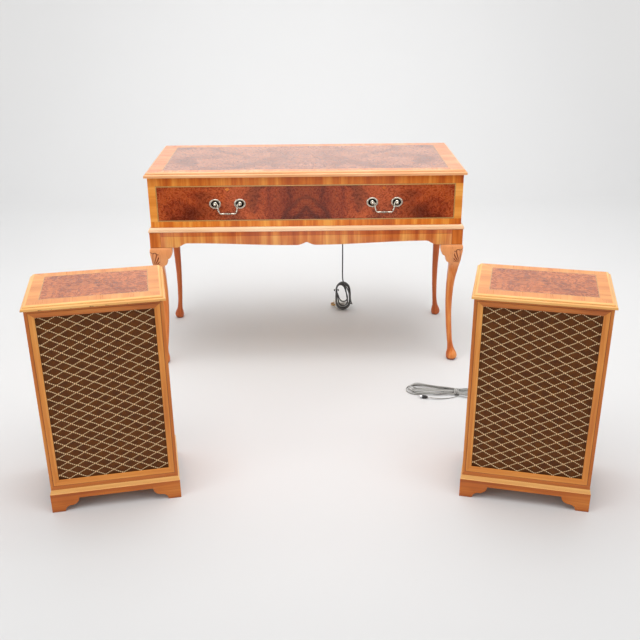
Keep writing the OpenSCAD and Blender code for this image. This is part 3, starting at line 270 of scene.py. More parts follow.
def burr(name, mirror_at, across, dark, mid, light, cloudy=1.0, arcs=False, coat=0.8, coarse=1.0):
    """Burr walnut: two leaves opened like a book about mirror_at, with clouds, curls and flecks."""
    f = Finish(name, Coat_Roughness=0.05, Specular_IOR_Level=0.35, Coat_Weight=coat)
    x, y, z = f.parts(f.where())
    from_joint = abs(x - mirror_at * MM)
    flat = f.vector(from_joint, {"y": y, "z": z}[across], 0.0)
    drift = f.noise(flat, 8.0, out="Color")
    swirl = f.shifted(flat, f.scaled(drift, (0.07, 0.07, 0.0)))
    clouds = f.noise(swirl, 6.5, 3.0, 0.5, 0.9)
    curls = f.noise(swirl, 52.0 / coarse, 4.0, 0.62, 2.6)
    flecks = f.noise(swirl, 170.0 / coarse, 3.0, 0.6, 3.2)
    veins = abs(f.noise(swirl, 15.0, 3.0, 0.55, 1.6) - 0.5)
    tone = (clouds - 0.5) * (0.55 * cloudy) + curls * (0.75 - 0.25 * cloudy) + flecks * (0.25 + 0.25 * cloudy)
    colour = f.ramp(tone, (0.36, dark), (0.49, mid), (0.62, light))
    colour = f.mix(clouds.between(0.5, 0.36, 0.0, 0.6 * cloudy), colour, deeper(dark, 0.42))
    colour = f.mix(veins.between(0.02, 0.0, 0.0, 0.45), colour, deeper(dark, 0.5))
    bright = flecks.between(0.56, 0.68, 0.0, 0.45 + 0.35 * cloudy) * clouds.between(0.36, 0.55, 0.35, 1.0)
    red, green, blue, _ = shade(light)
    colour = f.mix(bright, colour, (min(red * 1.35, 1), green * 1.7, blue * 1.5, 1.0))
    if arcs:
        # Dark arcs spring from the bottom of the joint between the leaves; beyond them it glows.
        across_swirl, up_swirl, _ = f.parts(swirl)
        radius = (across_swirl ** 2.0 + (up_swirl - 0.55) ** 2.0) ** 0.5
        ringed = (radius * (2 * pi / 0.042)).sine().between(0.1, 0.9) * radius.between(0.2, 0.1)
        colour = f.mix(ringed * 0.6, colour, deeper(dark, 0.35))
        glow = from_joint.between(0.12, 0.22) * from_joint.between(0.42, 0.3) * curls.between(0.3, 0.6)
        colour = f.mix(glow * 0.4, colour, (214, 104, 48))
        colour = f.mix(from_joint.between(0.16, 0.04) * 0.35, colour, deeper(dark, 0.6))
    f.set(Base_Color=colour, Roughness=curls.between(0.3, 0.7, 0.23, 0.33), Normal=f.bump(flecks, 0.03, 0.4))


# Each timber's name, the grains it is cut along, its dark, middle and light tone, its gloss, its
# coat and how strong its figure is. A name that ends in _ gets the letter of its grain.
TIMBERS = (
    ("yew_band_z", "z", (178, 78, 20), (212, 112, 34), (240, 160, 68), 0.34, 0.35, 1.0),
    ("yew_band_low", "z", (194, 90, 24), (228, 126, 38), (250, 174, 76), 0.34, 0.35, 1.0),
    ("yew_band_x", "x", (220, 128, 42), (238, 152, 62), (250, 180, 92), 0.34, 0.35, 1.0),
    ("yew_top_", "xy", (206, 112, 54), (226, 136, 76), (240, 166, 108), 0.3, 0.7, 0.7),
    ("yew_side", "z", (196, 104, 30), (224, 138, 50), (242, 174, 84), 0.34, 0.35, 0.8),
    ("edge_wood_", "xy", (216, 144, 88), (234, 172, 120), (246, 200, 156), 0.34, 0.35, 0.6),
    ("waist_wood_x", "x", (230, 170, 120), (242, 196, 152), (250, 216, 180), 0.32, 0.35, 0.6),
    ("waist_wood_y", "y", (220, 156, 98), (234, 180, 128), (246, 204, 156), 0.32, 0.35, 0.6),
    ("leg_wood", "z", (160, 68, 20), (192, 92, 32), (216, 122, 54), 0.36, 0.35, 0.6),
    ("inside_veneer", "x", (146, 84, 40), (170, 104, 54), (190, 126, 72), 0.44, 0.2, 0.6),
    ("deck_veneer", "x", (168, 92, 36), (200, 118, 52), (224, 150, 80), 0.36, 0.4, 0.8),
    ("speaker_band_", "xy", (204, 118, 48), (226, 146, 70), (240, 174, 98), 0.3, 0.6, 0.7),
    ("speaker_edge_", "xy", (222, 150, 76), (238, 180, 104), (248, 206, 138), 0.34, 0.35, 0.6),
    ("worn_edge", "x", (222, 150, 76), (238, 180, 104), (248, 206, 138), 0.34, 0.35, 0.6),
    ("frame_wood_", "xz", (172, 84, 22), (198, 110, 36), (222, 144, 62), 0.34, 0.35, 0.8),
    # Painted light: a lighter copy of frame_wood_ for the bevels that face the light.
    ("bevel_wood_", "xz", (198, 112, 36), (224, 142, 58), (242, 172, 88), 0.34, 0.35, 0.8),
    ("side_wood", "z", (180, 88, 22), (208, 116, 36), (234, 154, 66), 0.34, 0.35, 1.0),
    ("plinth_wood_", "xy", (160, 74, 16), (192, 102, 28), (220, 136, 52), 0.34, 0.35, 0.8),
)
WORN_AT = {"worn_edge": 610, "plinth_wood_x": 0}
for name, grains, dark, mid, light, gloss, coat, figure in TIMBERS:
    for grain in grains:
        full_name = name + grain if name.endswith("_") else name
        yew(full_name, grain, dark, mid, light, gloss, coat, figure, WORN_AT.get(full_name))
# The lid's burr is lighter and paler than the front's: partly its own colour, partly painted sheen of the
# lid's top.
burr("burr_lid", 0, "y", (118, 58, 38), (162, 94, 66), (204, 136, 100), 0.5)
burr("burr_front", 0, "z", (102, 31, 14), (152, 56, 26), (190, 88, 40), arcs=True, coat=0.3)
burr("burr_speaker", -180, "y", (128, 56, 20), (178, 88, 36), (216, 124, 60), 0.3,
     coat=0.6, coarse=1.6)


def stringing():
    """Boxwood line with its row of fine dark dashes."""
    f = Finish("stringing", Coat_Roughness=0.1, Coat_Weight=0.7)
    x, y, z = f.parts(f.where())
    dash = (x + y + z).wrap(0.0026).between(0.0012, 0.0016)
    f.set(Base_Color=f.mix(dash * 0.55, (236, 184, 108), (120, 62, 24)),
          Roughness=dash.between(0, 1, 0.34, 0.4))


def dark_line():
    f = Finish("dark_line", Coat_Roughness=0.1, Coat_Weight=0.6, Roughness=0.36)
    f.set(Base_Color=f.mix(f.noise(f.where(), 300.0, 2.0), (58, 26, 12), (92, 44, 20)))


def apron_wood():
    """The apron's two veneer strips: the upper redder and darker, a thin joint between."""
    f = Finish("apron_wood", Coat_Roughness=0.12, Coat_Weight=0.5)
    at = f.where()
    z = f.parts(at)[2]
    joint_z = 0.508
    wide = f.noise(f.scaled(at, (24, 24, 1.4)), 1.0, 4.0, 0.6, 0.3)
    fine = f.noise(f.scaled(at, (420, 420, 9)), 1.0, 3.0, 0.6)
    lower = f.ramp(wide, (0.36, (196, 96, 34)), (0.5, (222, 128, 56)), (0.64, (246, 176, 92)))
    upper = f.ramp(wide, (0.36, (166, 70, 26)), (0.5, (196, 94, 38)), (0.64, (226, 138, 62)))
    colour = f.mix(z.between(joint_z - 0.0005, joint_z + 0.0005), lower, upper)
    colour = f.mix(abs(z - joint_z).between(0.0008, 0.0002) * 0.6, colour, (120, 54, 22))
    colour = f.mix(fine.between(0.5, 0.72, 0.0, 0.3), colour, (160, 74, 26))
    f.set(Base_Color=colour, Roughness=fine.between(0.3, 0.75, 0.3, 0.42), Normal=f.bump(fine, 0.05))


def carved_wood():
    """Knees and shells: painted shade lies dark in the cuts and under the blocks; the knees are paler."""
    f = Finish("carved_wood", Coat_Roughness=0.14, Specular_IOR_Level=0.3, Coat_Weight=0.4)
    at = f.where()
    z = f.parts(at)[2]
    dark = (186, 88, 26)
    wide = f.noise(f.scaled(at, (40, 40, 3)), 1.0, 4.0, 0.6, 0.4)
    fine = f.noise(f.scaled(at, (500, 500, 14)), 1.0, 3.0, 0.6)
    colour = f.ramp(wide, (0.34, dark), (0.5, (216, 118, 44)), (0.66, (236, 152, 76)))
    # Paler from 360 to 468 mm up, over the knees.
    pale_knees = z.between(0.36, 0.4) * z.between(0.468, 0.466)
    colour = f.mix(pale_knees * 0.75, colour, (246, 170, 112))
    colour = f.mix(fine.between(0.5, 0.72, 0.0, 0.25), colour, dark)
    # Painted shade: darker in the shell's cuts and in corners narrower than 12 mm.
    colour = f.mix(f.hollow(12).between(0.97, 0.55, 0.0, 0.95), colour, (128, 40, 12))
    # Painted shadow: a dark line just under the leg blocks, at the apron's lower edge.
    shadow_under_block = abs(z - BLOCK_Z * MM).between(0.0012, 0.0004, 0.0, 0.8)
    colour = f.mix(shadow_under_block, colour, (96, 36, 12))
    f.set(Base_Color=colour, Roughness=fine.between(0.3, 0.75, 0.32, 0.44), Normal=f.bump(fine, 0.05))


# Other finishes

def speckled(name, first, second, scale, rough, depth, **constants):
    """A surface with a fine, even unevenness: paint, plastic, board or rubber."""
    f = Finish(name, **constants)
    n = f.noise(f.where(), scale, 4.0, 0.6)
    broad = f.noise(f.where(), scale / 24, 2.0)
    f.set(Base_Color=f.mix(n * 0.6 + broad * 0.4, first, second),
          Roughness=(n * 0.5 + broad * 0.5).between(0.25, 0.75, *rough), Normal=f.bump(n, depth, 0.6))


def silver():
    """Plated castings: bright where hands rub, dark in the hollows."""
    f = Finish("aged_silver", Metallic=1.0)
    stain = f.noise(f.where(), 260.0, 4.0, 0.6)
    worn = (f.hollow(5) + stain * 0.3).between(0.98, 0.6)
    f.set(Base_Color=f.mix(worn, (206, 200, 186), (58, 52, 42)),
          Roughness=worn.between(0.0, 1.0, 0.24, 0.6), Normal=f.bump(stain, 0.12))


def metal(name, colour, rough, brushed, depth=0.01, metallic=1.0):
    """Drawn, turned or brushed metal: its grain is long where brushed is small."""
    f = Finish(name, Metallic=metallic)
    n = f.noise(f.scaled(f.where(), brushed), 1600.0, 3.0, 0.6)
    f.set(Base_Color=f.mix(n, deeper(colour, 0.88), colour),
          Roughness=n.between(0.3, 0.7, rough - 0.05, rough + 0.08), Normal=f.bump(n, depth))


def grille_cloth():
    """Plain-woven dark brown cloth, with a faint painted sheen on its raised threads."""
    f = Finish("grille_cloth", Specular_IOR_Level=0.3)
    at = f.where()
    x, _, z = f.parts(at)
    per_thread = 2 * pi / 0.0016
    over = (x * per_thread).sine() * (z * per_thread).sine()
    n = f.noise(at, 90.0, 4.0, 0.6)
    # Painted sheen: the raised threads of the weave are painted lighter.
    tone = over * 0.3 + n * 0.7 + 0.12
    colour = f.ramp(tone, (0.2, (62, 29, 6)), (0.55, (112, 60, 17)), (0.9, (150, 88, 30)))
    f.set(Base_Color=colour, Roughness=n.between(0.2, 0.8, 0.62, 0.85), Normal=f.bump(over, 0.35, 0.8))


def lattice_cord():
    """Beige two-ply cord: each half turn of the twist shows as a bead."""
    f = Finish("lattice_cord", Specular_IOR_Level=0.25)
    at = f.where()
    n = f.noise(at, 700.0, 3.0, 0.6)
    # The cords lie aslant, so a bead is shorter in width than along its cord.
    bead_width = CORD_PITCH / 2 * DIAMOND_W / hypot(DIAMOND_W, DIAMOND_H) * MM
    bead = abs((f.parts(at)[0] * (pi / bead_width)).sine())
    colour = f.mix(n, (255, 206, 148), (255, 236, 190))
    # Painted shade: the cord is dark in the groove between its plies, where each bead ends.
    f.set(Base_Color=f.mix(bead.between(0.75, 0.3, 0.0, 0.9), colour, (116, 60, 24)),
          Roughness=n.between(0.2, 0.8, 0.55, 0.8), Normal=f.bump(bead, 0.3, 0.6))


def flex(name, first, second):
    """Plastic sheath, with painted shade where its turns lie together."""
    f = Finish(name)
    n = f.noise(f.where(), 300.0, 3.0, 0.6)
    # Painted shade: near black where the turns lie close together.
    shade_between_turns = f.hollow(7).between(0.92, 0.5, 0.0, 0.95)
    f.set(Base_Color=f.mix(shade_between_turns, f.mix(n, first, second), deeper(first, 0.1)),
          Roughness=n.between(0.25, 0.75, 0.34, 0.46), Normal=f.bump(n, 0.03))


def control_panel():
    """Champagne panel brushed along its length, with the printed scale on the floor of its tray."""
    f = Finish("control_panel")
    at = f.where()
    x, y, z = f.parts(at)
    x, y = x - CONSOLE_AT[0] * MM, y - CONSOLE_AT[1] * MM
    n = f.noise(f.scaled(at, (0.02, 1, 1)), 1400.0, 3.0, 0.6)
    tray_z, scale_x, scale_half = 0.6316, 0.25, 0.188
    in_tray = z.between(tray_z + 0.0004, tray_z)
    printed = 0.0
    for line, every, tall in ((0.201, 0.01, 0.0016), (0.210, 0.02, 0.0024), (0.219, 0.01, 0.0016)):
        off_line = abs(y - line)
        ticks = abs(x.wrap(every) - every / 2).between(0.0005, 0.0003) * off_line.between(tall, tall * 0.9)
        printed = off_line.between(0.0004, 0.0002).most(ticks).most(printed)
    printed = printed * abs(x - scale_x).between(scale_half, scale_half - 0.001)
    brushed = f.mix(n, (176, 164, 134), (196, 184, 154))
    scale = f.mix(printed, (22, 22, 24), (232, 214, 160))
    f.set(Base_Color=f.mix(in_tray, brushed, scale), Metallic=in_tray.between(0.0, 1.0, 1.0, 0.0),
          Roughness=n.between(0.3, 0.7, 0.3, 0.4), Normal=f.bump(n, 0.01, 0.4))


def clear_glass():
    f = Finish("clear_glass", Base_Color=(0.75, 0.82, 0.82, 1.0), Specular_IOR_Level=0.2)
    n = f.noise(f.where(), 40.0, 2.0)
    f.set(Alpha=n.between(0.2, 0.8, 0.1, 0.13), Roughness=n.between(0.2, 0.8, 0.04, 0.08))


for make_finish in (stringing, dark_line, apron_wood, carved_wood, silver, grille_cloth, lattice_cord,
                    control_panel, clear_glass):
    make_finish()
flex("mains_flex", (66, 66, 66), (92, 92, 92))
flex("pale_flex", (150, 150, 146), (206, 206, 202))
speckled("softwood", (196, 156, 106), (222, 186, 136), 60.0, (0.5, 0.7), 0.05)
speckled("hardboard", (96, 62, 38), (126, 86, 54), 300.0, (0.6, 0.8), 0.15)
speckled("black_paint", (20, 20, 21), (30, 30, 31), 500.0, (0.36, 0.46), 0.06, Coat_Weight=0.2)
speckled("black_rubber", (16, 16, 16), (28, 28, 28), 500.0, (0.6, 0.75), 0.08)
speckled("black_plastic", (14, 14, 15), (24, 24, 25), 400.0, (0.24, 0.34), 0.02)
speckled("grey_plastic", (66, 66, 68), (84, 84, 86), 400.0, (0.4, 0.5), 0.05)
speckled("white_plastic", (226, 224, 216), (240, 238, 230), 300.0, (0.3, 0.4), 0.03)
speckled("red_plastic", (186, 30, 22), (206, 42, 30), 300.0, (0.3, 0.4), 0.02)
speckled("paper_black", (22, 21, 20), (38, 36, 34), 600.0, (0.7, 0.85), 0.12)
metal("black_tarnish", (66, 58, 48), 0.5, (1, 1, 1), 0.05, 0.2)
metal("brass", (206, 160, 84), 0.3, (1, 1, 0.1))
metal("bright_steel", (206, 206, 208), 0.22, (1, 1, 0.2))
metal("zinc_plate", (168, 172, 176), 0.42, (1, 0.2, 1), 0.02)
metal("spun_alloy", (206, 196, 172), 0.3, (1, 1, 0.03))
metal("cast_alloy", (178, 178, 180), 0.36, (0.03, 1, 1))


# Points and curves

def steps(n, start, sweep):
    return [start + sweep * i / n for i in range(n + 1)]


def arc(centre, radius, n, start, sweep):
    return [(centre[0] + radius * cos(a), centre[1] + radius * sin(a)) for a in steps(n, start, sweep)]


def ring_section(radius, n):
    return arc((0, 0), radius, n, 0, 2 * pi)[:-1]


def clamp(value, low=0, high=1):
    return min(max(value, low), high)


def quarter(a, b, n=8):
    """Quarter of an ellipse that leaves a upright and reaches b level."""
    return [(b[0] + (a[0] - b[0]) * cos(t), a[1] + (b[1] - a[1]) * sin(t)) for t in steps(n, 0, pi / 2)]


def smooth(z, table):
    """Catmull and Rom's curve through stations [height, value]."""
    i = 0
    while i < len(table) - 2 and z > table[i + 1][0]:
        i += 1
    u = clamp((z - table[i][0]) / (table[i + 1][0] - table[i][0]))
    p0, p1 = table[max(i - 1, 0)][1], table[i][1]
    p2, p3 = table[i + 1][1], table[min(i + 2, len(table) - 1)][1]
    return 0.5 * (2 * p1 + (p2 - p0) * u + (2 * p0 - 5 * p1 + 4 * p2 - p3) * u * u
                  + (3 * p1 - p0 - 3 * p2 + p3) * u ** 3)


def fair(points, step, passes):
    """A route at even steps, its corners eased into curves."""
    pts = [Vector(p) for p in points]
    marks = [0.0]
    for a, b in zip(pts, pts[1:]):
        marks.append(marks[-1] + (b - a).length)
    out, k = [], 0
    for at in steps(round(marks[-1] / step), 0.0, marks[-1]):
        while k < len(marks) - 2 and marks[k + 1] < at:
            k += 1
        out.append(pts[k].lerp(pts[k + 1], (at - marks[k]) / (marks[k + 1] - marks[k])))
    for _ in range(passes):
        out = [out[0]] + [(a + b * 2 + c) / 4 for a, b, c in zip(out, out[1:], out[2:])] + [out[-1]]
    return out


def beaded(d, radius, beads, waist=1.7):
    """A turned rod's radius at the distance d, with beads of [place, half length, radius]."""
    for at, wide, fat in beads:
        if abs(d - at) < wide:
            radius = max(radius, waist + (fat - waist) * sqrt(1 - ((d - at) / wide) ** 2))
    return radius


def on(axis, at, p):
    """A point that lies at a place along an axis, and at p in the other two, in their order."""
    return {"x": (at, p[0], p[1]), "y": (p[0], at, p[1]), "z": (p[0], p[1], at)}[axis]


def rectangle(a, b, c, d):
    return [(a, b), (c, b), (c, d), (a, d)]


# Making meshes

class Form:
    """Corners and faces of one piece in millimetres, with a finish number for each face."""

    def __init__(self):
        self.points, self.faces, self.numbers = [], [], []

    def add(self, points, faces, number=0):
        start = len(self.points)
        self.points += [tuple(p) for p in points]
        for i, face in enumerate(faces):
            self.faces.append([start + k for k in face])
            self.numbers.append(number[i] if isinstance(number, list) else number)
        return self

    def quad(self, corners, number=0):
        return self.add(corners, [(0, 1, 2, 3)], number)

    def sheet(self, axis, at, low, high, number=0):
        """A rectangle across an axis, between two corners."""
        return self.quad([on(axis, at, p) for p in rectangle(*low, *high)], number)

    def bands(self, axis, stages, numbers):
        """Four-sided bands between rectangles (x0, y0, x1, y1), each at its place along an axis.
        numbers holds, for each band, the finishes below, right, above and left."""
        rings = [[on(axis, at, p) for p in rectangle(*sides)] for at, sides in stages]
        for near, far, four in zip(rings, rings[1:], numbers):
            for k, number in enumerate(four):
                after = (k + 1) % 4
                self.quad([near[k], near[after], far[after], far[k]], number)

    def slab(self, outline, low, high, axis, number=0):
        """A flat outline given a thickness, from low to high along an axis."""
        return self.rings([[on(axis, at, p) for p in outline] for at in (low, high)], number)

    def box(self, low, high, number=0):
        return self.slab(rectangle(*low[:2], *high[:2]), low[2], high[2], "z", number)

    def rings(self, rings, number=0, closed=False):
        n, m = len(rings[0]), len(rings)
        faces = [(j * n + i, j * n + (i + 1) % n, (j + 1) % m * n + (i + 1) % n, (j + 1) % m * n + i)
                 for j in range(m if closed else m - 1) for i in range(n)]
        if not closed:
            faces += [tuple(range(n))[::-1], tuple(range((m - 1) * n, m * n))]
        return self.add([p for ring in rings for p in ring], faces, number)

    def sleeve(self, first, last, number=0):
        """The faces between two like rings."""
        n = len(first)
        return self.add(first + last, [(k, (k + 1) % n, n + (k + 1) % n, n + k) for k in range(n)], number)

    def moulding(self, profile, half, front, back, z, numbers):
        """A profile of [inward, up] that runs along the left end, the front and the right end, and
        is mitred at the front corners. numbers holds the three runs' finishes."""
        rings = [[(side * (half - a), back if ends else front + a, z + b) for a, b in profile]
                 for side, ends in ((-1, True), (-1, False), (1, False), (1, True))]
        for first, last, number in zip(rings, rings[1:], numbers):
            self.sleeve(first, last, number)
        for ring, number in ((rings[0][::-1], numbers[0]), (rings[-1], numbers[-1])):
            self.add(ring, [tuple(range(len(ring)))], number)

    def turned(self, profile, at, n=48, number=0, along="z", squash=(1, 1)):
        """A profile of [radius, height] turned about an axis, from the first point to the last."""
        rings = []
        for r, h in profile:
            ring = [on(along, h, (u * squash[0], v * squash[1])) for u, v in ring_section(max(r, 0.01), n)]
            rings.append([tuple(c + d for c, d in zip(at, p)) for p in ring])
        return self.rings(rings, number)

    def tube(self, path, section, number=0, closed=False, twist=None):
        """A section of [side, up] swept along a path. section may be a list with one for each
        point of the path, and twist one turn in radians for each."""
        pts = [Vector(p) for p in path]
        ends = (pts[-1:], pts[:1]) if closed else (pts[:1], pts[-1:])
        side = Vector((0, 0, 1))
        rings = []
        for i, (p, before, after) in enumerate(zip(pts, ends[0] + pts, pts[1:] + ends[1])):
            t = (after - before).normalized()
            side = side - t * side.dot(t)
            if side.length < 1e-3:
                side = Vector((1, 0, 0)) - t * t.x
            side.normalize()
            other = t.cross(side)
            turn = twist[i] if twist else 0
            c, s = cos(turn), sin(turn)
            shape = section[i] if isinstance(section[0], list) else section
            rings.append([tuple(p + side * (u * c - v * s) + other * (u * s + v * c)) for u, v in shape])
        return self.rings(rings, number, closed)


def make(name, form, finishes, replaces="", where="console", body="set", bevel=0.0, sharp=38):
    """Turns a form into an object that rides on a body and stands for its CAD nodes."""
    mesh = bpy.data.meshes.new(name)
    work = bmesh.new()
    corners = [work.verts.new(Vector(p) * MM) for p in form.points]
    for face, number in zip(form.faces, form.numbers):
        work.faces.new([corners[i] for i in face]).material_index = number
    bmesh.ops.recalc_face_normals(work, faces=work.faces)
    if bevel:
        edges = [e for e in work.edges if len(e.link_faces) == 2 and e.calc_face_angle(0) > radians(sharp)]
        bmesh.ops.bevel(work, geom=edges, offset=bevel * MM, segments=2, profile=0.5,
                        affect="EDGES", clamp_overlap=True)
    work.to_mesh(mesh)
    work.free()
    for finish in finishes.split():
        mesh.materials.append(Finish.made[finish])
    mesh.polygons.foreach_set("use_smooth", [True] * len(mesh.polygons))
    mesh.set_sharp_from_angle(angle=radians(sharp))
    return place_piece(name, mesh, replaces, where, body)


def place_piece(name, mesh, replaces, where, body="set"):
    piece = show(name, mesh, place(where))
    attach(piece, body)
    if replaces:
        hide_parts(*replaces.split())
    return piece


# The cords. Their routes repeat the CAD source's; past them each runs on into its hank.

# Each turn of the mains hank: its half width, its top and its foot, and its lean in degrees.
MAINS_TURNS = ((30.5, 126, 3.4, 0), (20, 118, 14, 9), (28.5, 121, 3.6, 3), (18.5, 112, 28, 17),
               (30, 127, 6, -1))
TIE_X, TIE_Y, TIE_Z = 126, 525.8, 92


def mains_path():
    """Out of the gland, down to the hank, round it, and on along the floor to the plug."""
    path = [
        (150, 504, 575), (150, 512, 574), (150, 521, 568), (150, 527, 558), (150, 529, 545),
        (150, 529, 500), (151, 528, 440), (152, 527, 380), (153, 526, 320), (153, 526, 260),
        (153, 525.5, 200), (152.5, 522, 165), (153, 517.5, 142), (160, 515.6, 124),
        (172, 515.4, 106), (182, 515.4, 82), (186.5, 515.6, 54), (183, 515.8, 27), (169, 516, 8.5),
        (151, 516, 4), (134, 516.2, 15), (127.5, 516.6, 38), (126, 517.4, 62),
    ]
    y, middle, lay = 518.6, 88, 3.0
    for k, (half, top, low, lean) in enumerate(MAINS_TURNS):
        x = TIE_X + (1.8 if k % 2 else -1.2)
        turn = [(0, 0)] + arc((half, top - half - middle), half, 6, pi, -pi)
        turn += [(2 * half, (top + low) / 2 - middle)] + arc((half, low + half - middle), half, 6, 0, -pi)
        turn += [(0, (low + half - middle) / 2)]
        c, s = cos(radians(lean)), sin(radians(lean))
        for u, v in turn:
            path.append((x + u * c - v * s, y, middle + u * s + v * c))
            y += lay / len(turn)
    return fair(path + [
        (126, 533.6, 88), (129, 533.6, 108), (141, 533.6, 124), (158, 533.6, 128), (174, 533.6, 119),
        (184, 533.6, 101), (187.6, 533.6, 80), (187.8, 533.7, 62), (188.5, 534.5, 47), (190.5, 538, 33),
        (194, 544, 21), (197.3, 553, 14), (195, 563, 12), (187, 571, 11.8), (176, 574.6, 12), (168, 573, 12),
    ], 3.0, 8)


# Each turn of the loudspeaker's hank: its far end, its bend, how far it lies to one side,
# its height at the wrap and at the far end, and how wide it bows beyond the wrap.
HANK_TURNS = (
    (-402, 24, -10, 17.7, 21, 20), (-418, 36, 2, 15.2, 3, 23), (-398, 20, 14, 12.7, 13, 14),
    (-388, 19, -17, 10.2, 10, 19), (-411, 27, 8, 7.7, 6.5, 12), (-396, 17, -4, 5.2, 3, 17),
)
WRAP_X, HANK_Y, WRAP_Z, WRAP_WIDE, WRAP_TALL = -237, 615, 13, 11.6, 11.7
SPEAKER_PLUG_AT = (-334, 562.8, 6.1)


def speaker_path():
    """Down the back of the right loudspeaker, along the floor, into the hank, round its waist and
    on to the plug."""
    path = [
        (-90, 268, 130), (-90, 276, 130), (-90, 285, 127), (-90, 293, 119), (-91, 300, 106),
        (-92, 306, 88), (-93, 312, 66), (-94, 319, 44), (-95, 328, 25), (-96, 340, 11), (-97, 356, 4),
        (-98, 376, 3), (-97, 400, 3), (-95, 430, 3), (-92, 465, 3), (-91, 500, 3), (-93, 535, 3),
        (-98, 565, 3), (-108, 590, 4), (-124, 606, 9), (-144, 614, 15), (-170, 616, 20.4),
        (-205, 616, 22.4), (-240, 617, 22.2), (-272, 621, 22),
    ]
    flank = -300
    for end, bend, shift, high, low, bow in HANK_TURNS:
        middle = HANK_Y + 0.4 * shift
        height = 0.4 * low + 0.6 * high
        path.append((flank, middle + 0.66 * bend, height))
        path += [(x, y, low) for x, y in arc((end + bend, HANK_Y + shift), bend, 6, pi / 2, pi)]
        path.append((flank, middle - 0.66 * bend, height))
        gather = [(-262, 9, 0), (-250, 6.2, 0), (-238, 6, 0), (-226, 0.45 * bow + 3, 0.2),
                  (-208, 0.9 * bow, 0.8), (-186, 0.72 * bow, 1.4)]
        beyond = [(x, HANK_Y - y, high + z) for x, y, z in gather] + [(bow - 195, HANK_Y, high + 1.4)]
        beyond += [(x, HANK_Y + y, high + z) for x, y, z in gather[::-1]]
        path += beyond
    # The last turn doesn't run beyond the wrap, but into it.
    path = path[:-len(beyond)] + [(-262, 606, 5.5), (-250, 604.6, 6.5), (-244, 603.4, 8.5)]
    for k, a in enumerate(steps(45, 0.95 * pi, -5.4 * pi)):
        path.append((-245 + k / 3, HANK_Y + WRAP_WIDE * cos(a), WRAP_Z + WRAP_TALL * sin(a)))
    return fair(path + [
        (-234, 602, 1.6), (-247, 590, 1.4), (-264, 579, 1.6), (-284, 570, 2.6), (-306, 564, 4.6),
        (-322, 562.8, 6), SPEAKER_PLUG_AT,
    ], 2.5, 6)


def mains_cord():
    path = mains_path()
    cord = make("mains_flex", Form().tube(path, ring_section(2.75, 12)), "mains_flex",
                "mains_lead mains_hank")
    around = steps(24, 0, 2 * pi)[:-1]
    loop = [(TIE_X + 8.5 * cos(a), TIE_Y + 12.2 * sin(a), TIE_Z + 1.5 * sin(3 * a)) for a in around]
    tie = Form().tube(loop, [(0.7 * u, 2.6 * v) for u, v in ring_section(1, 8)], closed=True)
    band = make("flex_tie", tie, "black_rubber")
    mains_plug()


def mains_plug():
    """Three-pin plug on its side: two half shells with a seam, a cord grip and brass pins."""
    form = Form()
    corners = (((11, 11), 14), ((-15, 20), 5), ((-15, -20), 5), ((11, -11), 14))
    outline = []
    for k, (corner, radius) in enumerate(corners):
        outline += arc(corner, radius, 6, k * pi / 2, pi / 2)
    levels = [(0.1, 2.2), (0.9, 0.7), (2.6, 0), (11.6, 0), (12.1, 0.6), (12.7, 0.6), (13.2, 0), (23, 0),
              (25.2, 0.8), (26.1, 2.6)]
    half = 25
    shrunk = [(z, 1 - inset / half) for z, inset in levels]
    form.rings([[(x * k, y * k, z) for x, y in outline] for z, k in shrunk])
    grip = [(6.5, 0), (6.5, 2), (5, 2.6), (5, 4), (5.6, 4.4), (4.6, 5), (4.6, 6.5), (5.1, 7), (3.6, 7.8)]
    form.turned(grip, (24, 0, 12), 20, along="x")
    form.turned([(3.4, 26), (3.4, 26.4), (2.9, 26.5), (2.7, 25.6)], (8, 0, 0), 16, 1)
    for y in (11, -11):
        form.box((-34, y - 2, 10), (-20, y + 2, 16), 1)
    form.box((-37, -3, 8), (-20, 3, 12), 1)
    at_x, at_y, turn = 139, 566, radians(14)
    c, s = cos(turn), sin(turn)
    form.points = [(at_x + x * c - y * s, at_y + x * s + y * c, z) for x, y, z in form.points]
    return make("mains_plug_shell", form, "white_plastic brass", "mains_plug",
                bevel=0.35, sharp=40)


def twin_section(half, n=16):
    """Two wires side by side in one figure-of-eight sheath."""
    out = []
    for a in steps(n, pi / n, 2 * pi)[:-1]:
        u = 2 * half * cos(a)
        v = max(sqrt(max(half * half - (abs(u) - half) ** 2, 0)), half * 0.35)
        out.append((u, copysign(v, sin(a))))
    return out


def lead_twist(path):
    """The flat lead turns over as it goes, but lies flat on the floor and round the hank's waist."""
    waist = next(i for i, p in enumerate(path) if abs(p.x - WRAP_X) < 10
                 and hypot((p.y - HANK_Y) / WRAP_WIDE, (p.z - WRAP_Z) / WRAP_TALL) > 0.9)
    near_floor, rise, fade, reach = 3.8, 1.4, 12, 8
    twist = []
    for i, p in enumerate(path):
        flat = clamp((near_floor - p.z) / rise)
        loose = 0.5 * sin(i * 0.07) + 0.35 * sin(i * 0.023 + 1)
        twist.append((loose * (1 - flat) + pi / 2 * flat) * clamp((waist - i) / fade))
    near = [twist[max(i - reach, 0):i + reach + 1] for i in range(len(path))]
    return [sum(few) / len(few) for few in near]


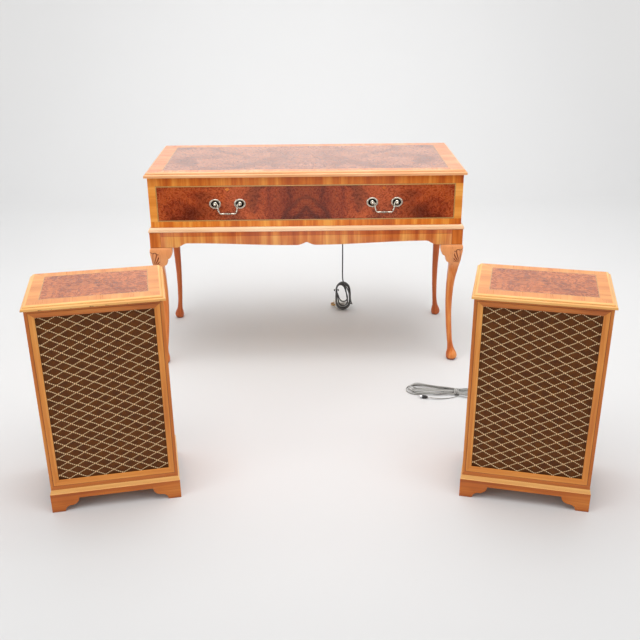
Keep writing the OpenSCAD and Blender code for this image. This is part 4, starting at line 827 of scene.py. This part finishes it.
def speaker_cord():
    path = speaker_path()
    lead = Form().tube(path, twin_section(1.2), twist=lead_twist(path))
    cord = make("speaker_flex", lead, "pale_flex", "speaker_lead speaker_hank", "right")
    shell = [(2.4, 0), (3.4, -1), (3.9, -4), (5.9, -7), (6, -9), (5.6, -9.6), (6, -10.2), (5.6, -10.8),
             (6, -11.4), (5.6, -12), (6, -12.6), (6, -19), (5.4, -20)]
    plug = Form().turned(shell, SPEAKER_PLUG_AT, 28, 0, "x")
    plug.turned([(4.9, -20), (4.9, -27), (4.5, -27.5), (3.6, -27.5), (3.6, -26)], SPEAKER_PLUG_AT, 28, 1, "x")
    x, y, z = SPEAKER_PLUG_AT
    for s in (1, -1):
        plug.turned([(0.9, -27), (0.9, -35), (0.4, -36)], (x, y + s * 1.8, z + s * 0.6), 12, 1, "x")
    body = make("speaker_plug_body", plug, "black_plastic bright_steel",
                "speaker_plug", "right")


mains_cord()
speaker_cord()


# The console's case

def inlay(form, top, outer, inner, string, line):
    """A top's veneers: crossband, dark line, stringing, dark line and burr. Its finishes are the
    burr, the crossband's two grains, the dark line and the stringing, in that order."""
    a, b, c, d = inner
    grown = [(a - k, b - k, c + k, d + k) for k in (string + 2 * line, string + line, line, 0)]
    form.bands("z", [(top, sides) for sides in [outer] + grown], [(1, 2, 1, 2), [3] * 4, [4] * 4, [3] * 4])
    form.sheet("z", top, (a, b), (c, d))


def step_profile(curves, band, top):
    """Profile of a stepped moulding as corners of [inward, up], closed along the back."""
    return [(0, 0)] + [p for a, b in curves for p in quarter(a, b, 7)] + [(band, top), (band, 0)]


def lid_panel():
    form = Form()
    x, y = LID_W / 2 - LID_BAND, LID_BAND
    outer = (-x, y, x, LID_D)
    inlay(form, CONSOLE_H, outer, inner=(-506, 44, 506, 438), string=1.8, line=0.5)
    form.bands("z", [(LID_Z, outer), (CONSOLE_H, outer)], [[5] * 4])
    form.sheet("z", LID_Z, (-x, y), (x, LID_D), 6)
    make("lid_veneered_panel", form,
         "burr_lid yew_top_y yew_top_x dark_line stringing edge_wood_x inside_veneer", "lid_panel",
         body="lid")


def lid_moulding():
    curves = [((0.4, 0.8), (0.4, 5.6)), ((0.4, 6.2), (5, 10.5)), ((6.5, 10.5), (11.9, LID_T))]
    form = Form()
    form.moulding(step_profile(curves, LID_BAND, LID_T), LID_W / 2, 0, LID_D, LID_Z, [0, 1, 0])
    make("lid_moulding_run", form, "edge_wood_y edge_wood_x", "lid_moulding", body="lid")


def case_front():
    """The front board: veneer bands and lines round a shallow recess for the burr."""
    form = Form()
    x, low, high = PANEL_X, PANEL_LOW, PANEL_HIGH
    lines_x, lines_low, lines_high = 531.6, 561.8, 691.4
    floor_y = CASE_Y + 6
    form.sheet("y", CASE_Y, (-CASE_X, lines_high), (CASE_X, RIM_Z), 1)
    form.sheet("y", CASE_Y, (-CASE_X, CASE_Z), (CASE_X, lines_low), 6)
    form.sheet("y", CASE_Y, (-CASE_X, lines_low), (-lines_x, lines_high), 2)
    form.sheet("y", CASE_Y, (lines_x, lines_low), (CASE_X, lines_high), 2)
    lines = [(CASE_Y, (k - lines_x, lines_low + k, lines_x - k, lines_high - k)) for k in (0, 0.7)]
    lines += [(y, (-x - k, low - k, x + k, high + k)) for y, k in ((CASE_Y, 0.6), (CASE_Y, 0), (floor_y, 0))]
    form.bands("y", lines, [[3] * 4, [4] * 4, [3] * 4, [3] * 4])
    form.sheet("y", floor_y, (-x, low), (x, high), 5)
    board = (-CASE_X, CASE_Z, CASE_X, RIM_Z)
    form.bands("y", [(BACK_Y, board), (CASE_Y, board)], [[1, 0, 0, 0]])
    form.sheet("y", BACK_Y, (-CASE_X, CASE_Z), (CASE_X, RIM_Z), 5)
    make("front_board", form,
         "edge_wood_x yew_band_z yew_band_x dark_line stringing inside_veneer yew_band_low", "case_front")


def front_burr():
    form = Form()
    play, thick, diamond_x, z = 0.1, 4, 278, 677.4
    form.box((play - PANEL_X, BURR_Y, PANEL_LOW + play), (PANEL_X - play, BURR_Y + thick, PANEL_HIGH - play))
    for x in (-diamond_x, diamond_x):
        for half, tall, proud, number in ((10.6, 7.4, 0.06, 1), (9.8, 6.7, 0.12, 2)):
            y = BURR_Y - proud
            form.quad([(x - half, y, z), (x, y, z - tall), (x + half, y, z), (x, y, z + tall)], number)
    make("front_burr_leaf", form, "burr_front dark_line yew_band_z", "front_burr_panel")


def case_ends():
    form = Form()
    thick = 16
    for s in (-1, 1):
        x0, x1 = sorted((s * (CASE_X - thick), s * CASE_X))
        form.box((x0, BACK_Y, CASE_Z), (x1, LID_D, RIM_Z), [1, int(s < 0), 1, int(s > 0), 1, 1])
    make("end_boards", form, "yew_side inside_veneer", "case_ends")


def waist():
    out, tall, band = 10.5, CASE_Z - WAIST_Z, 30
    profile = [(0.6, 0), (0.3, 1.2), (0, 1.6), (0, 4.2), (0.4, 4.8)] + quarter((1.0, 5.2), (out, tall))
    form = Form()
    half = CASE_X + out
    form.moulding(profile + [(band, tall), (band, 0)], half, CASE_Y - out, LID_D, WAIST_Z, [1, 2, 1])
    form.box((band - half, LID_D - BOARD, WAIST_Z), (half - band, LID_D, CASE_Z))
    make("waist_moulding", form, "softwood waist_wood_y waist_wood_x", "lower_moulding")


def apron():
    block_x, ogee_x, lobe_x, peak_x, lobe_z = STAND_X - FRONT_BLOCK, 471, 432, 36, 471

    def ease(a, b, u):
        return a + (b - a) * (1 - cos(pi * u)) / 2

    def edge(x):
        d = abs(x)
        if d > ogee_x:
            return BLOCK_Z
        if d > lobe_x:
            return ease(OGEE_Z, BLOCK_Z, (d - lobe_x) / (ogee_x - lobe_x))
        if d > peak_x:
            return ease(lobe_z, OGEE_Z, (d - peak_x) / (lobe_x - peak_x))
        return ease(OGEE_Z, lobe_z, (d / peak_x) ** 0.7)
    half = [block_x] + steps(12, ogee_x, lobe_x - ogee_x) + steps(24, lobe_x, peak_x - lobe_x)[1:]
    half += steps(10, peak_x, -peak_x)[1:-1] + [1.2]
    outline = [(x, edge(x)) for x in [-x for x in half] + half[::-1]]
    form = Form().slab(outline + [(block_x, WAIST_Z), (-block_x, WAIST_Z)], STAND_Y, STAND_Y + BOARD, "y")
    front, rear, back_x = STAND_Y + FRONT_BLOCK, LID_D - REAR_BLOCK, STAND_X - REAR_BLOCK
    ogee_y = 85
    side = [(front, WAIST_Z), (front, BLOCK_Z)]
    side += [(ogee_y + (ogee_x - lobe_x) * u, ease(BLOCK_Z, OGEE_Z, u)) for u in steps(12, 0, 1)]
    side += [(rear, OGEE_Z), (rear, WAIST_Z)]
    for s in (-1, 1):
        form.slab(side, *sorted((s * (STAND_X - BOARD), s * STAND_X)), "x", 1)
    form.box((-back_x, LID_D - BOARD, OGEE_Z), (back_x, LID_D, WAIST_Z), 1)
    make("apron_boards", form, "apron_wood yew_side", "apron", bevel=0.5, sharp=50)


# Stations of the legs up from the floor: how far the middle stands out along the diagonal, half
# the width, and how square the section is.
FRONT_SHIFT = [(0, 5), (12, 6), (25, 5), (50, 1), (80, -3.5), (130, -8), (200, -12), (270, -12.5),
               (330, -9.5), (380, -4), (410, 0), (440, 2), (458, 1.5), (467, 0), (524, 0)]
FRONT_HALF = [(0, 15), (6, 19), (14, 21), (25, 19.5), (40, 14), (60, 10.6), (80, 10), (130, 10.4),
              (200, 11.4), (270, 13), (330, 15), (380, 18.5), (410, 20.5), (440, 22), (458, 21.5),
              (467, 20), (524, 20)]
FRONT_SQUARE = [(0, 2), (80, 2), (200, 2.4), (330, 3.4), (400, 5), (440, 9), (467, 30), (524, 30)]
REAR_SHIFT = [(0, 6), (14, 7), (25, 6), (50, 2), (90, -2), (150, -5), (230, -6), (320, -4), (400, -1),
              (467, 0), (524, 0)]
REAR_HALF = [(0, 13), (6, 17), (14, 18.5), (25, 17), (42, 11.5), (70, 9.2), (110, 9.4), (200, 11),
             (300, 13.5), (400, 16.5), (460, 18), (467, 18), (524, 18)]
REAR_SQUARE = [(0, 2), (110, 2), (250, 2.6), (400, 6), (460, 20), (524, 30)]
SHELL_Z, SHELL_R, SHELL_DEEP, FAN, RIBS = 394, 56, 4.2, 74, 9


def shell(along, z):
    """How deep the carved shell cuts at a point of the knee: nine ribs with round ends."""
    hub, lip, round_end, rib_height = 5, 0.8, 5.5, 0.88
    up = z - SHELL_Z
    r, a = hypot(along, up), degrees(atan2(along, up))
    if abs(a) > FAN or r < hub:
        return 0
    rib = abs(cos(radians(a * RIBS * 90 / FAN)))
    reach = SHELL_R * (0.9 + 0.1 * rib ** 0.6)
    if r > reach + lip:
        return 0
    edge = clamp((reach - r) / round_end)
    crown = rib * (edge * (2 - edge)) ** 0.5
    fade = min(1, r / 20) * min(1, (FAN - abs(a)) / 5 + 0.3)
    return SHELL_DEEP * fade * (1 - rib_height * crown)


def leg_ring(z, stations, sides, carved):
    shift, half, square = (smooth(z, table) for table in stations)
    ring = []
    for i in range(sides):
        a = radians(45 + 360 * i / sides)
        x, y = cos(a), sin(a)
        k = half * (abs(x) ** square + abs(y) ** square) ** (-1 / square)
        x, y = x * k, y * k
        r = hypot(x, y)
        q = i if i <= sides / 2 else i - sides
        cut = shell(r * q * 2 * pi / sides, z) if carved and abs(q) < sides / 5 else 0
        ring.append((shift + x * (1 - cut / r), shift + y * (1 - cut / r)))
    return ring


def legs():
    foot = [0, 2, 4, 6, 9, 12, 16, 20, 24, 28, 32, 37]
    block = [BLOCK_Z, 495, WAIST_Z]
    front_z = foot + [42, 48, 54, 60, 68, 76, 85] + list(range(95, 380, 10)) + steps(97, 380, 77.6)
    front_z += [458.6, 460, 462, 464, 466, 467, 467.2, 495, WAIST_Z]
    rear_z = foot + [43, 50, 58, 66, 75, 85] + list(range(95, 460, 12)) + [460, 464] + block
    front, rear = (FRONT_SHIFT, FRONT_HALF, FRONT_SQUARE), (REAR_SHIFT, REAR_HALF, REAR_SQUARE)
    for name, heights, stations, sides, half, y, turn, finish, node in (
            ("front_cabriole_legs", front_z, front, 200, FRONT_BLOCK / 2, STAND_Y + FRONT_BLOCK / 2, -1,
             "carved_wood", "front_legs"),
            ("rear_cabriole_legs", rear_z, rear, 56, REAR_BLOCK / 2, LID_D - REAR_BLOCK / 2, 1,
             "leg_wood", "rear_legs")):
        form = Form()
        rings = [(z, leg_ring(z, stations, sides, node == "front_legs")) for z in heights]
        for s in (-1, 1):
            form.rings([[(s * (STAND_X - half + u), y + turn * v, z) for u, v in ring] for z, ring in rings])
        make(name, form, finish, node, sharp=50)


# The edge of a knee bracket down from the apron: each stretch's foot, how far out it ends, and
# whether it is a quarter round.
EAR = ((3, 79, False), (44, 62, True), (52, 58, False), (69, 50, True), (80, 37, False))


def ear_reach(h):
    """How far a knee bracket reaches at h below the apron."""
    top, start = 0, EAR[0][1]
    for foot, end, is_round in EAR:
        if h <= foot:
            share = (h - top) / (foot - top)
            return end + (start - end) * (cos(asin(share)) if is_round else 1 - share)
        top, start = foot, end


def ears():
    """Knee brackets: their faces swell with the knee and their edges are rounded over."""
    form = Form()
    root, deep, round_over = 34.0, 26.0, 5
    rings = []
    for h in steps(40, 0, EAR[-1][0]):
        z = BLOCK_Z - h
        out = max(smooth(z, FRONT_SHIFT) + smooth(z, FRONT_HALF) - FRONT_BLOCK / 2, -3)
        far = ear_reach(h)
        swell = [(root + (far - round_over - root) * u, -out * (1 - 0.35 * u ** 2)) for u in steps(5, 0, 1)]
        u, v = far - round_over, swell[-1][1] + round_over
        swell += [(u + round_over * sin(a), v - round_over * cos(a)) for a in (0.4, 0.8, 1.2, pi / 2)]
        rings.append((z, swell + [(far, deep - 3), (far - 3, deep), (root, deep)]))
    for s in (-1, 1):
        form.rings([[(s * (STAND_X - d), STAND_Y + v, z) for d, v in ring] for z, ring in rings])
        form.rings([[(s * (STAND_X - v), STAND_Y + d, z) for d, v in ring] for z, ring in rings])
    make("knee_ears", form, "carved_wood", "knee_brackets", sharp=50)


# Handles

def roses():
    """Oval back plates: a thick bright rim, a blackened dish, and a boss and ball for the pin."""
    form = Form()
    oval = (1, 18 / 21)
    rim = [(21, 0), (21, -0.9)] + [(17.6 + 3.4 * cos(a), -1 - 2 * sin(a)) for a in steps(12, 0.1, 2.6)]
    rim += [(14.4, -0.7)]
    dish = [(14.4, -0.7), (13.4, -0.35), (10, -0.3), (8, -0.6), (7.2, -1.4)]
    boss = [(7.2, -1.4), (7.4, -2.2), (7.0, -3.0), (5.4, -3.6), (4.4, -5.0), (4.2, -7.0), (3.9, -8.2)]
    boss += arc((0, -12.2), 5.4, 12, 0.7, -pi / 2 - 0.69)
    for x in (-HANDLE_X - POST, -HANDLE_X + POST, HANDLE_X - POST, HANDLE_X + POST):
        at = (x, BURR_Y, HANDLE_Z)
        form.turned(rim, at, 56, 0, "y", oval)
        form.turned(dish, at, 56, 1, "y", oval)
        form.turned(boss, at, 40, 0, "y")
    make("oval_roses", form, "aged_silver black_tarnish", "handle_roses", sharp=55)


def bails():
    """Cranked bails: turned knops on the arms and rings on the bottom bar."""
    arm = [(45, 0), (39, 0), (36.4, -0.8), (35, -3), (34.8, -8), (34.4, -14), (33.2, -21), (31.4, -27),
           (29.6, -32), (27.6, -34.6), (24, -DROP)]
    knops = [(13, 2.3, 3.2), (18, 2.2, 3.2), (23.7, 3.0, 3.7), (29.8, 2.4, 3.4), (35.5, 2.6, 3.7)]
    bar_rings = [(0, 2.6, 4.1), (3.7, 0.8, 3.4), (6.0, 1.4, 3.9), (8.3, 0.8, 3.4), (10.4, 0.9, 3.1),
                 (25.4, 1.2, 3.4)]
    necks, neck_r, step = (2.75, 4.55, 7.45, 9.3, 11.6), 1.7, 0.5
    bar_half, swell_at, swell_half = 26, 17.5, 8
    for x, body in ((-HANDLE_X, "bail_left"), (HANDLE_X, "bail_right")):
        form = Form()
        for s in (-1, 1):
            path = fair([(x + s * u, PIVOT_Y, HANDLE_Z + v) for u, v in arm], step, 12)
            along = [i * step for i in range(len(path))]
            form.tube(path, [ring_section(beaded(d, 1.5 if d < 6 else 1.8, knops), 16) for d in along])
        bar, sections = [], []
        for u in steps(160, -bar_half, 2 * bar_half):
            d = abs(u)
            swell = 2.3 + 0.6 * cos(min(abs(d - swell_at) / swell_half, 1) * pi / 2)
            in_neck = min(abs(d - neck) for neck in necks) < 0.3
            bar.append((x + u, PIVOT_Y, HANDLE_Z - DROP))
            sections.append(ring_section(neck_r if in_neck else beaded(d, swell, bar_rings), 20))
        form.tube(bar, sections)
        make(body + "_casting", form, "aged_silver", body, body=body, sharp=55)


# Loudspeakers

def speaker_top(where):
    form = Form()
    low, band, veneer = SPK_H - SPK_T, 13.7, 0.05
    x = SPK_W / 2 - band
    curves = [((0.3, 0.6), (0.3, 3.4)), ((0.3, 3.9), (4.5, 7.5)), ((6, 7.5), (13.6, SPK_T))]
    inlay(form, SPK_H, (-x, band, x, SPK_D), inner=(-138, 49, 138, 221), string=1.2, line=0.35)
    form.box((-x, band, low), (x, SPK_D, SPK_H - veneer), 5)
    form.moulding(step_profile(curves, band, SPK_T), SPK_W / 2, 0, SPK_D, low, [6, 5, 6])
    front_edge = "worn_edge" if where == "left" else "speaker_edge_x"
    make("speaker_top_" + where, form,
         "burr_speaker speaker_band_y speaker_band_x dark_line stringing %s speaker_edge_y" % front_edge,
         "speaker_tops", where)


def speaker_case(where):
    """Cabinet and its frame: a flat strip, a groove, a bevel down to the cloth and a lip."""
    form = Form()
    half, front, z0, z1 = 175, 5, PLINTH_H, SPK_H - SPK_T
    strip, slope, t, opening = 24.5, 16, 12, (98, 587)
    low, high, edge = opening[0] - strip, opening[1] + strip, strip - slope
    profile = [(0, 12), (0, 0.4), (0.4, 0), (edge - 1, 0), (edge - 0.5, 0.3), (edge, 1.5), (edge + 0.5, 1.5),
               (edge + 0.9, 0.5), (edge + 1.8, 0.5), (strip - 1.6, 4.3), (strip - 0.8, 4.5), (strip, 5.2),
               (strip, 5.9), (14, 5.9), (14, 12)]
    bevel = range(7, 12)
    corners = ((-half, low, 1, 1), (half, low, -1, 1), (half, high, -1, -1), (-half, high, 1, -1))
    rings = [[(x + sx * a, front + b, min(z + sz * a, z1)) for a, b in profile] for x, z, sx, sz in corners]
    for i, ring in enumerate(rings):
        # Painted light: lit bevels take the lighter wood; the top rail's, in shade, keeps the frame's.
        numbers = [i % 2 + (4 if k in bevel and i != 2 else 0) for k in range(len(profile))]
        form.sleeve(ring, rings[(i + 1) % 4], numbers)
    form.box((-half, front, z0), (half, front + t, low))
    outer, inner = (-half, z0, half, z1), (-half + t, z0 + t, half - t, z1 - t)
    round_board = ((SPK_D, outer), (front + t, outer), (front + t, inner), (SPK_D, inner), (SPK_D, outer))
    form.bands("y", round_board, [[3, 2, 3, 2], [3] * 4, [3] * 4, [3] * 4])
    make("speaker_cabinet_" + where, form,
         "frame_wood_x frame_wood_z side_wood edge_wood_x bevel_wood_x bevel_wood_z",
         "speaker_case_" + where, where)


def foot_outline(w):
    """Stations [along, height] under a board of the plinth: a foot and an ogee at either end."""
    foot, cove, ogee, cut = 36, 18, 41, 40
    turn = (foot + cove, cove)
    end = [(0, 0)] + quarter((foot, 0), turn) + quarter((foot + ogee, cut), turn)[::-1]
    return end + [(w / 2, cut)] + [(w - x, z) for x, z in end[::-1]]


# The plinth's bead and cove from the board's face in, as [inward, up].
LEDGE = [(0, 57.6), (0.3, 58.8), (1.1, 59.6), (2, 59.8), (2.2, 60.6), (2.5, 62.6), (3.1, 65), (3.9, 67.2),
         (4.6, 69), (4.9, 70)]


def speaker_plinth(where):
    """Four mitred boards with an ogee cut between the feet and a pale bead and cove at the top."""
    form = Form()
    w, d, t, top = 358, SPK_D, 12, PLINTH_H
    boards = ((w, 0, (-w / 2, 0)), (d, 90, (w / 2, 0)), (w, 180, (w / 2, d)), (d, 270, (-w / 2, d)))
    for length, turn, at in boards:
        number = int(length == d)
        c, s = round(cos(radians(turn))), round(sin(radians(turn)))
        cut = foot_outline(length) if turn != 180 else [(0, 0), (length / 2, 0), (length, 0)]
        rings = []
        for x, z in {round(x, 3): z for x, z in cut}.items():
            ring = []
            for inward, h in [(0, z)] + LEDGE + [(t, top), (t, z)]:
                px = clamp(x, inward, length - inward)
                ring.append((at[0] + c * px - s * inward, at[1] + s * px + c * inward, h))
            rings.append(ring)
        faces = [number + (2 if 0 < k < len(LEDGE) else 0) for k in range(len(LEDGE) + 3)]
        form.rings(rings, faces * (len(rings) - 1) + [number] * 2)
    make("speaker_plinth_" + where, form,
         "plinth_wood_x plinth_wood_y speaker_edge_x speaker_edge_y", "speaker_plinths", where, sharp=42)


def grille_mesh():
    """Cloth on its board, and two sets of twisted cords that pass over and under each other."""
    form = Form()
    z0 = GRILLE_MID - SHEET_H / 2
    cloth_y, back_y = 15.5, 18.4
    form.box((-SHEET_W / 2, cloth_y, z0), (SHEET_W / 2, back_y, z0 + SHEET_H))
    slope = DIAMOND_H / DIAMOND_W
    stretch = hypot(1, slope)
    cord_y, over, step = 13.35, 0.95, 1.5
    section = [(1.45 * p, 0.9 * q) for p, q in ring_section(1, 6)]
    for falls in (False, True):
        c = -floor(slope * SHEET_W / DIAMOND_H) * DIAMOND_H + DIAMOND_H / 2
        while c < SHEET_H:
            a, b = max(0, -c / slope), min(SHEET_W, (SHEET_H - c) / slope)
            if b - a > DIAMOND_W / 4:
                path, twist = [], []
                row = round((c - DIAMOND_H / 2) / DIAMOND_H)
                for u in steps(max(2, round((b - a) * stretch / step)), a, b - a):
                    knot = cos(2 * pi * (u / DIAMOND_W + 0.5 * row))
                    y = cord_y + (over if falls else -over) * knot
                    path.append((-SHEET_W / 2 + (SHEET_W - u if falls else u), y, z0 + c + slope * u))
                    twist.append(2 * pi * u * stretch / CORD_PITCH)
                form.tube(path, section, 1, twist=twist)
            c += DIAMOND_H
    left = make("grille_weave_left", form, "grille_cloth lattice_cord", "grille_left",
                "left", sharp=60)
    place_piece("grille_weave_right", left.data, "grille_right", "right")


for make_piece in (lid_panel, lid_moulding, case_front, front_burr, case_ends, waist, apron, legs,
                   ears, roses, bails):
    make_piece()
for where in ("left", "right"):
    speaker_top(where)
for where in ("left", "right"):
    speaker_case(where)
    speaker_plinth(where)
grille_mesh()


# The pieces that keep their CAD shape, by finish

KEPT = {
    "softwood": "case_base inner_rails baffles",
    "hardboard": "back_panel speaker_backs",
    "deck_veneer": "deck_board",
    "brass": "case_hinge lid_hinge lid_stay motor_pulley",
    "black_paint": "deck_plate arm_supports",
    "bright_steel": "platter_bearing arm_gimbal arm_tube",
    "zinc_plate": "deck_motor amplifier_chassis",
    "black_rubber": "drive_belt platter_mat",
    "control_panel": "tuner_fascia",
    "clear_glass": "dial_glass",
    "grey_plastic": "mains_gland",
    "paper_black": "woofers tweeters",
    "spun_alloy": "platter tuning_knob volume_knob balance_knob tone_knob",
    "black_plastic": "headshell speed_knob",
    "cast_alloy": "counterweight",
    "red_plastic": "dial_pointer",
    "white_plastic": "power_button band_button",
}
for finish, nodes in KEPT.items():
    for node in nodes.split():
        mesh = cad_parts[node].data
        mesh.materials.clear()
        mesh.materials.append(Finish.made[finish])


# Floor, backdrop and light

DISTANCE = shade((230, 229, 228))
WHITE = (1.0, 1.0, 1.0, 1.0)

# Each lamp's name, place, size, power and the point that it faces.
LAMPS = (
    ("top_light", (0.1, -0.9, 3.6), 3.0, 82, (0, -0.2, 0.0)),
    ("wall_light", (0.0, 1.4, 3.8), 4.4, 106, (0, 4.0, 1.2)),
    ("left_light", (-3.2, -2.8, 2.0), 2.0, 34, (0, 0, 0.4)),
    ("right_light", (3.4, -2.4, 2.2), 2.0, 22, (0, 0, 0.4)),
)


def floor_finish():
    """Pale floor and wall. Far from the set they pass into one even tone, lit or not."""
    f = Finish("studio_floor", Specular_IOR_Level=0.2)
    at = f.where()
    n = f.noise(at, 3.0)
    x, y, _ = f.parts(at)
    near = f.mix(n, (210, 210, 210), (215, 215, 215))
    f.set(Base_Color=f.mix(y.between(-2.2, -0.4), near, (218, 218, 218)),
          Roughness=n.between(0.2, 0.8, 0.6, 0.7))
    far = ((x ** 2.0 + (y - 1.5) ** 2.0) ** 0.5).between(2.6, 4.2)
    even = f.node("ShaderNodeEmission", None, {"Color": DISTANCE, "Strength": 1.0})
    f.blend(far * f.seen(), f.surface, even)


def world_light():
    world = bpy.data.worlds.new("studio_light")
    bpy.context.scene.world = world
    world.use_nodes = True
    w = Nodes(world.node_tree, "ShaderNodeOutputWorld")
    light, view = (w.node("ShaderNodeBackground", None, {"Color": colour, "Strength": strength})
                   for colour, strength in ((WHITE, 0.44), (DISTANCE, 1.0)))
    w.blend(w.seen(), light, view)


def sweep():
    """A floor that curves up into the wall behind the set."""
    wall_y, curve, front, wide, tall = 4000, 1400, -14000, 12000, 6000
    section = [(front, 0), (wall_y - curve, 0)]
    section += arc((wall_y - curve, curve), curve, 16, -pi / 2, pi / 2) + [(wall_y, tall)]
    points = [Vector((x, y, z)) * MM for y, z in section for x in (-wide, wide)]
    mesh = bpy.data.meshes.new("studio")
    mesh.from_pydata(points, [], [(k, k + 1, k + 3, k + 2) for k in range(0, len(points) - 2, 2)])
    mesh.materials.append(Finish.made["studio_floor"])
    mesh.polygons.foreach_set("use_smooth", [True] * len(mesh.polygons))
    show("studio", mesh)


def lamps():
    for name, at, size, power, aim in LAMPS:
        data = bpy.data.lights.new(name, "AREA")
        data.shape, data.size, data.energy = "SQUARE", size, power
        facing = (Vector(aim) - Vector(at)).to_track_quat("-Z", "Y")
        show(name, data, Matrix.Translation(at) @ facing.to_matrix().to_4x4())


floor_finish()
world_light()
sweep()
lamps()
bpy.context.scene.view_settings.view_transform = "Standard"
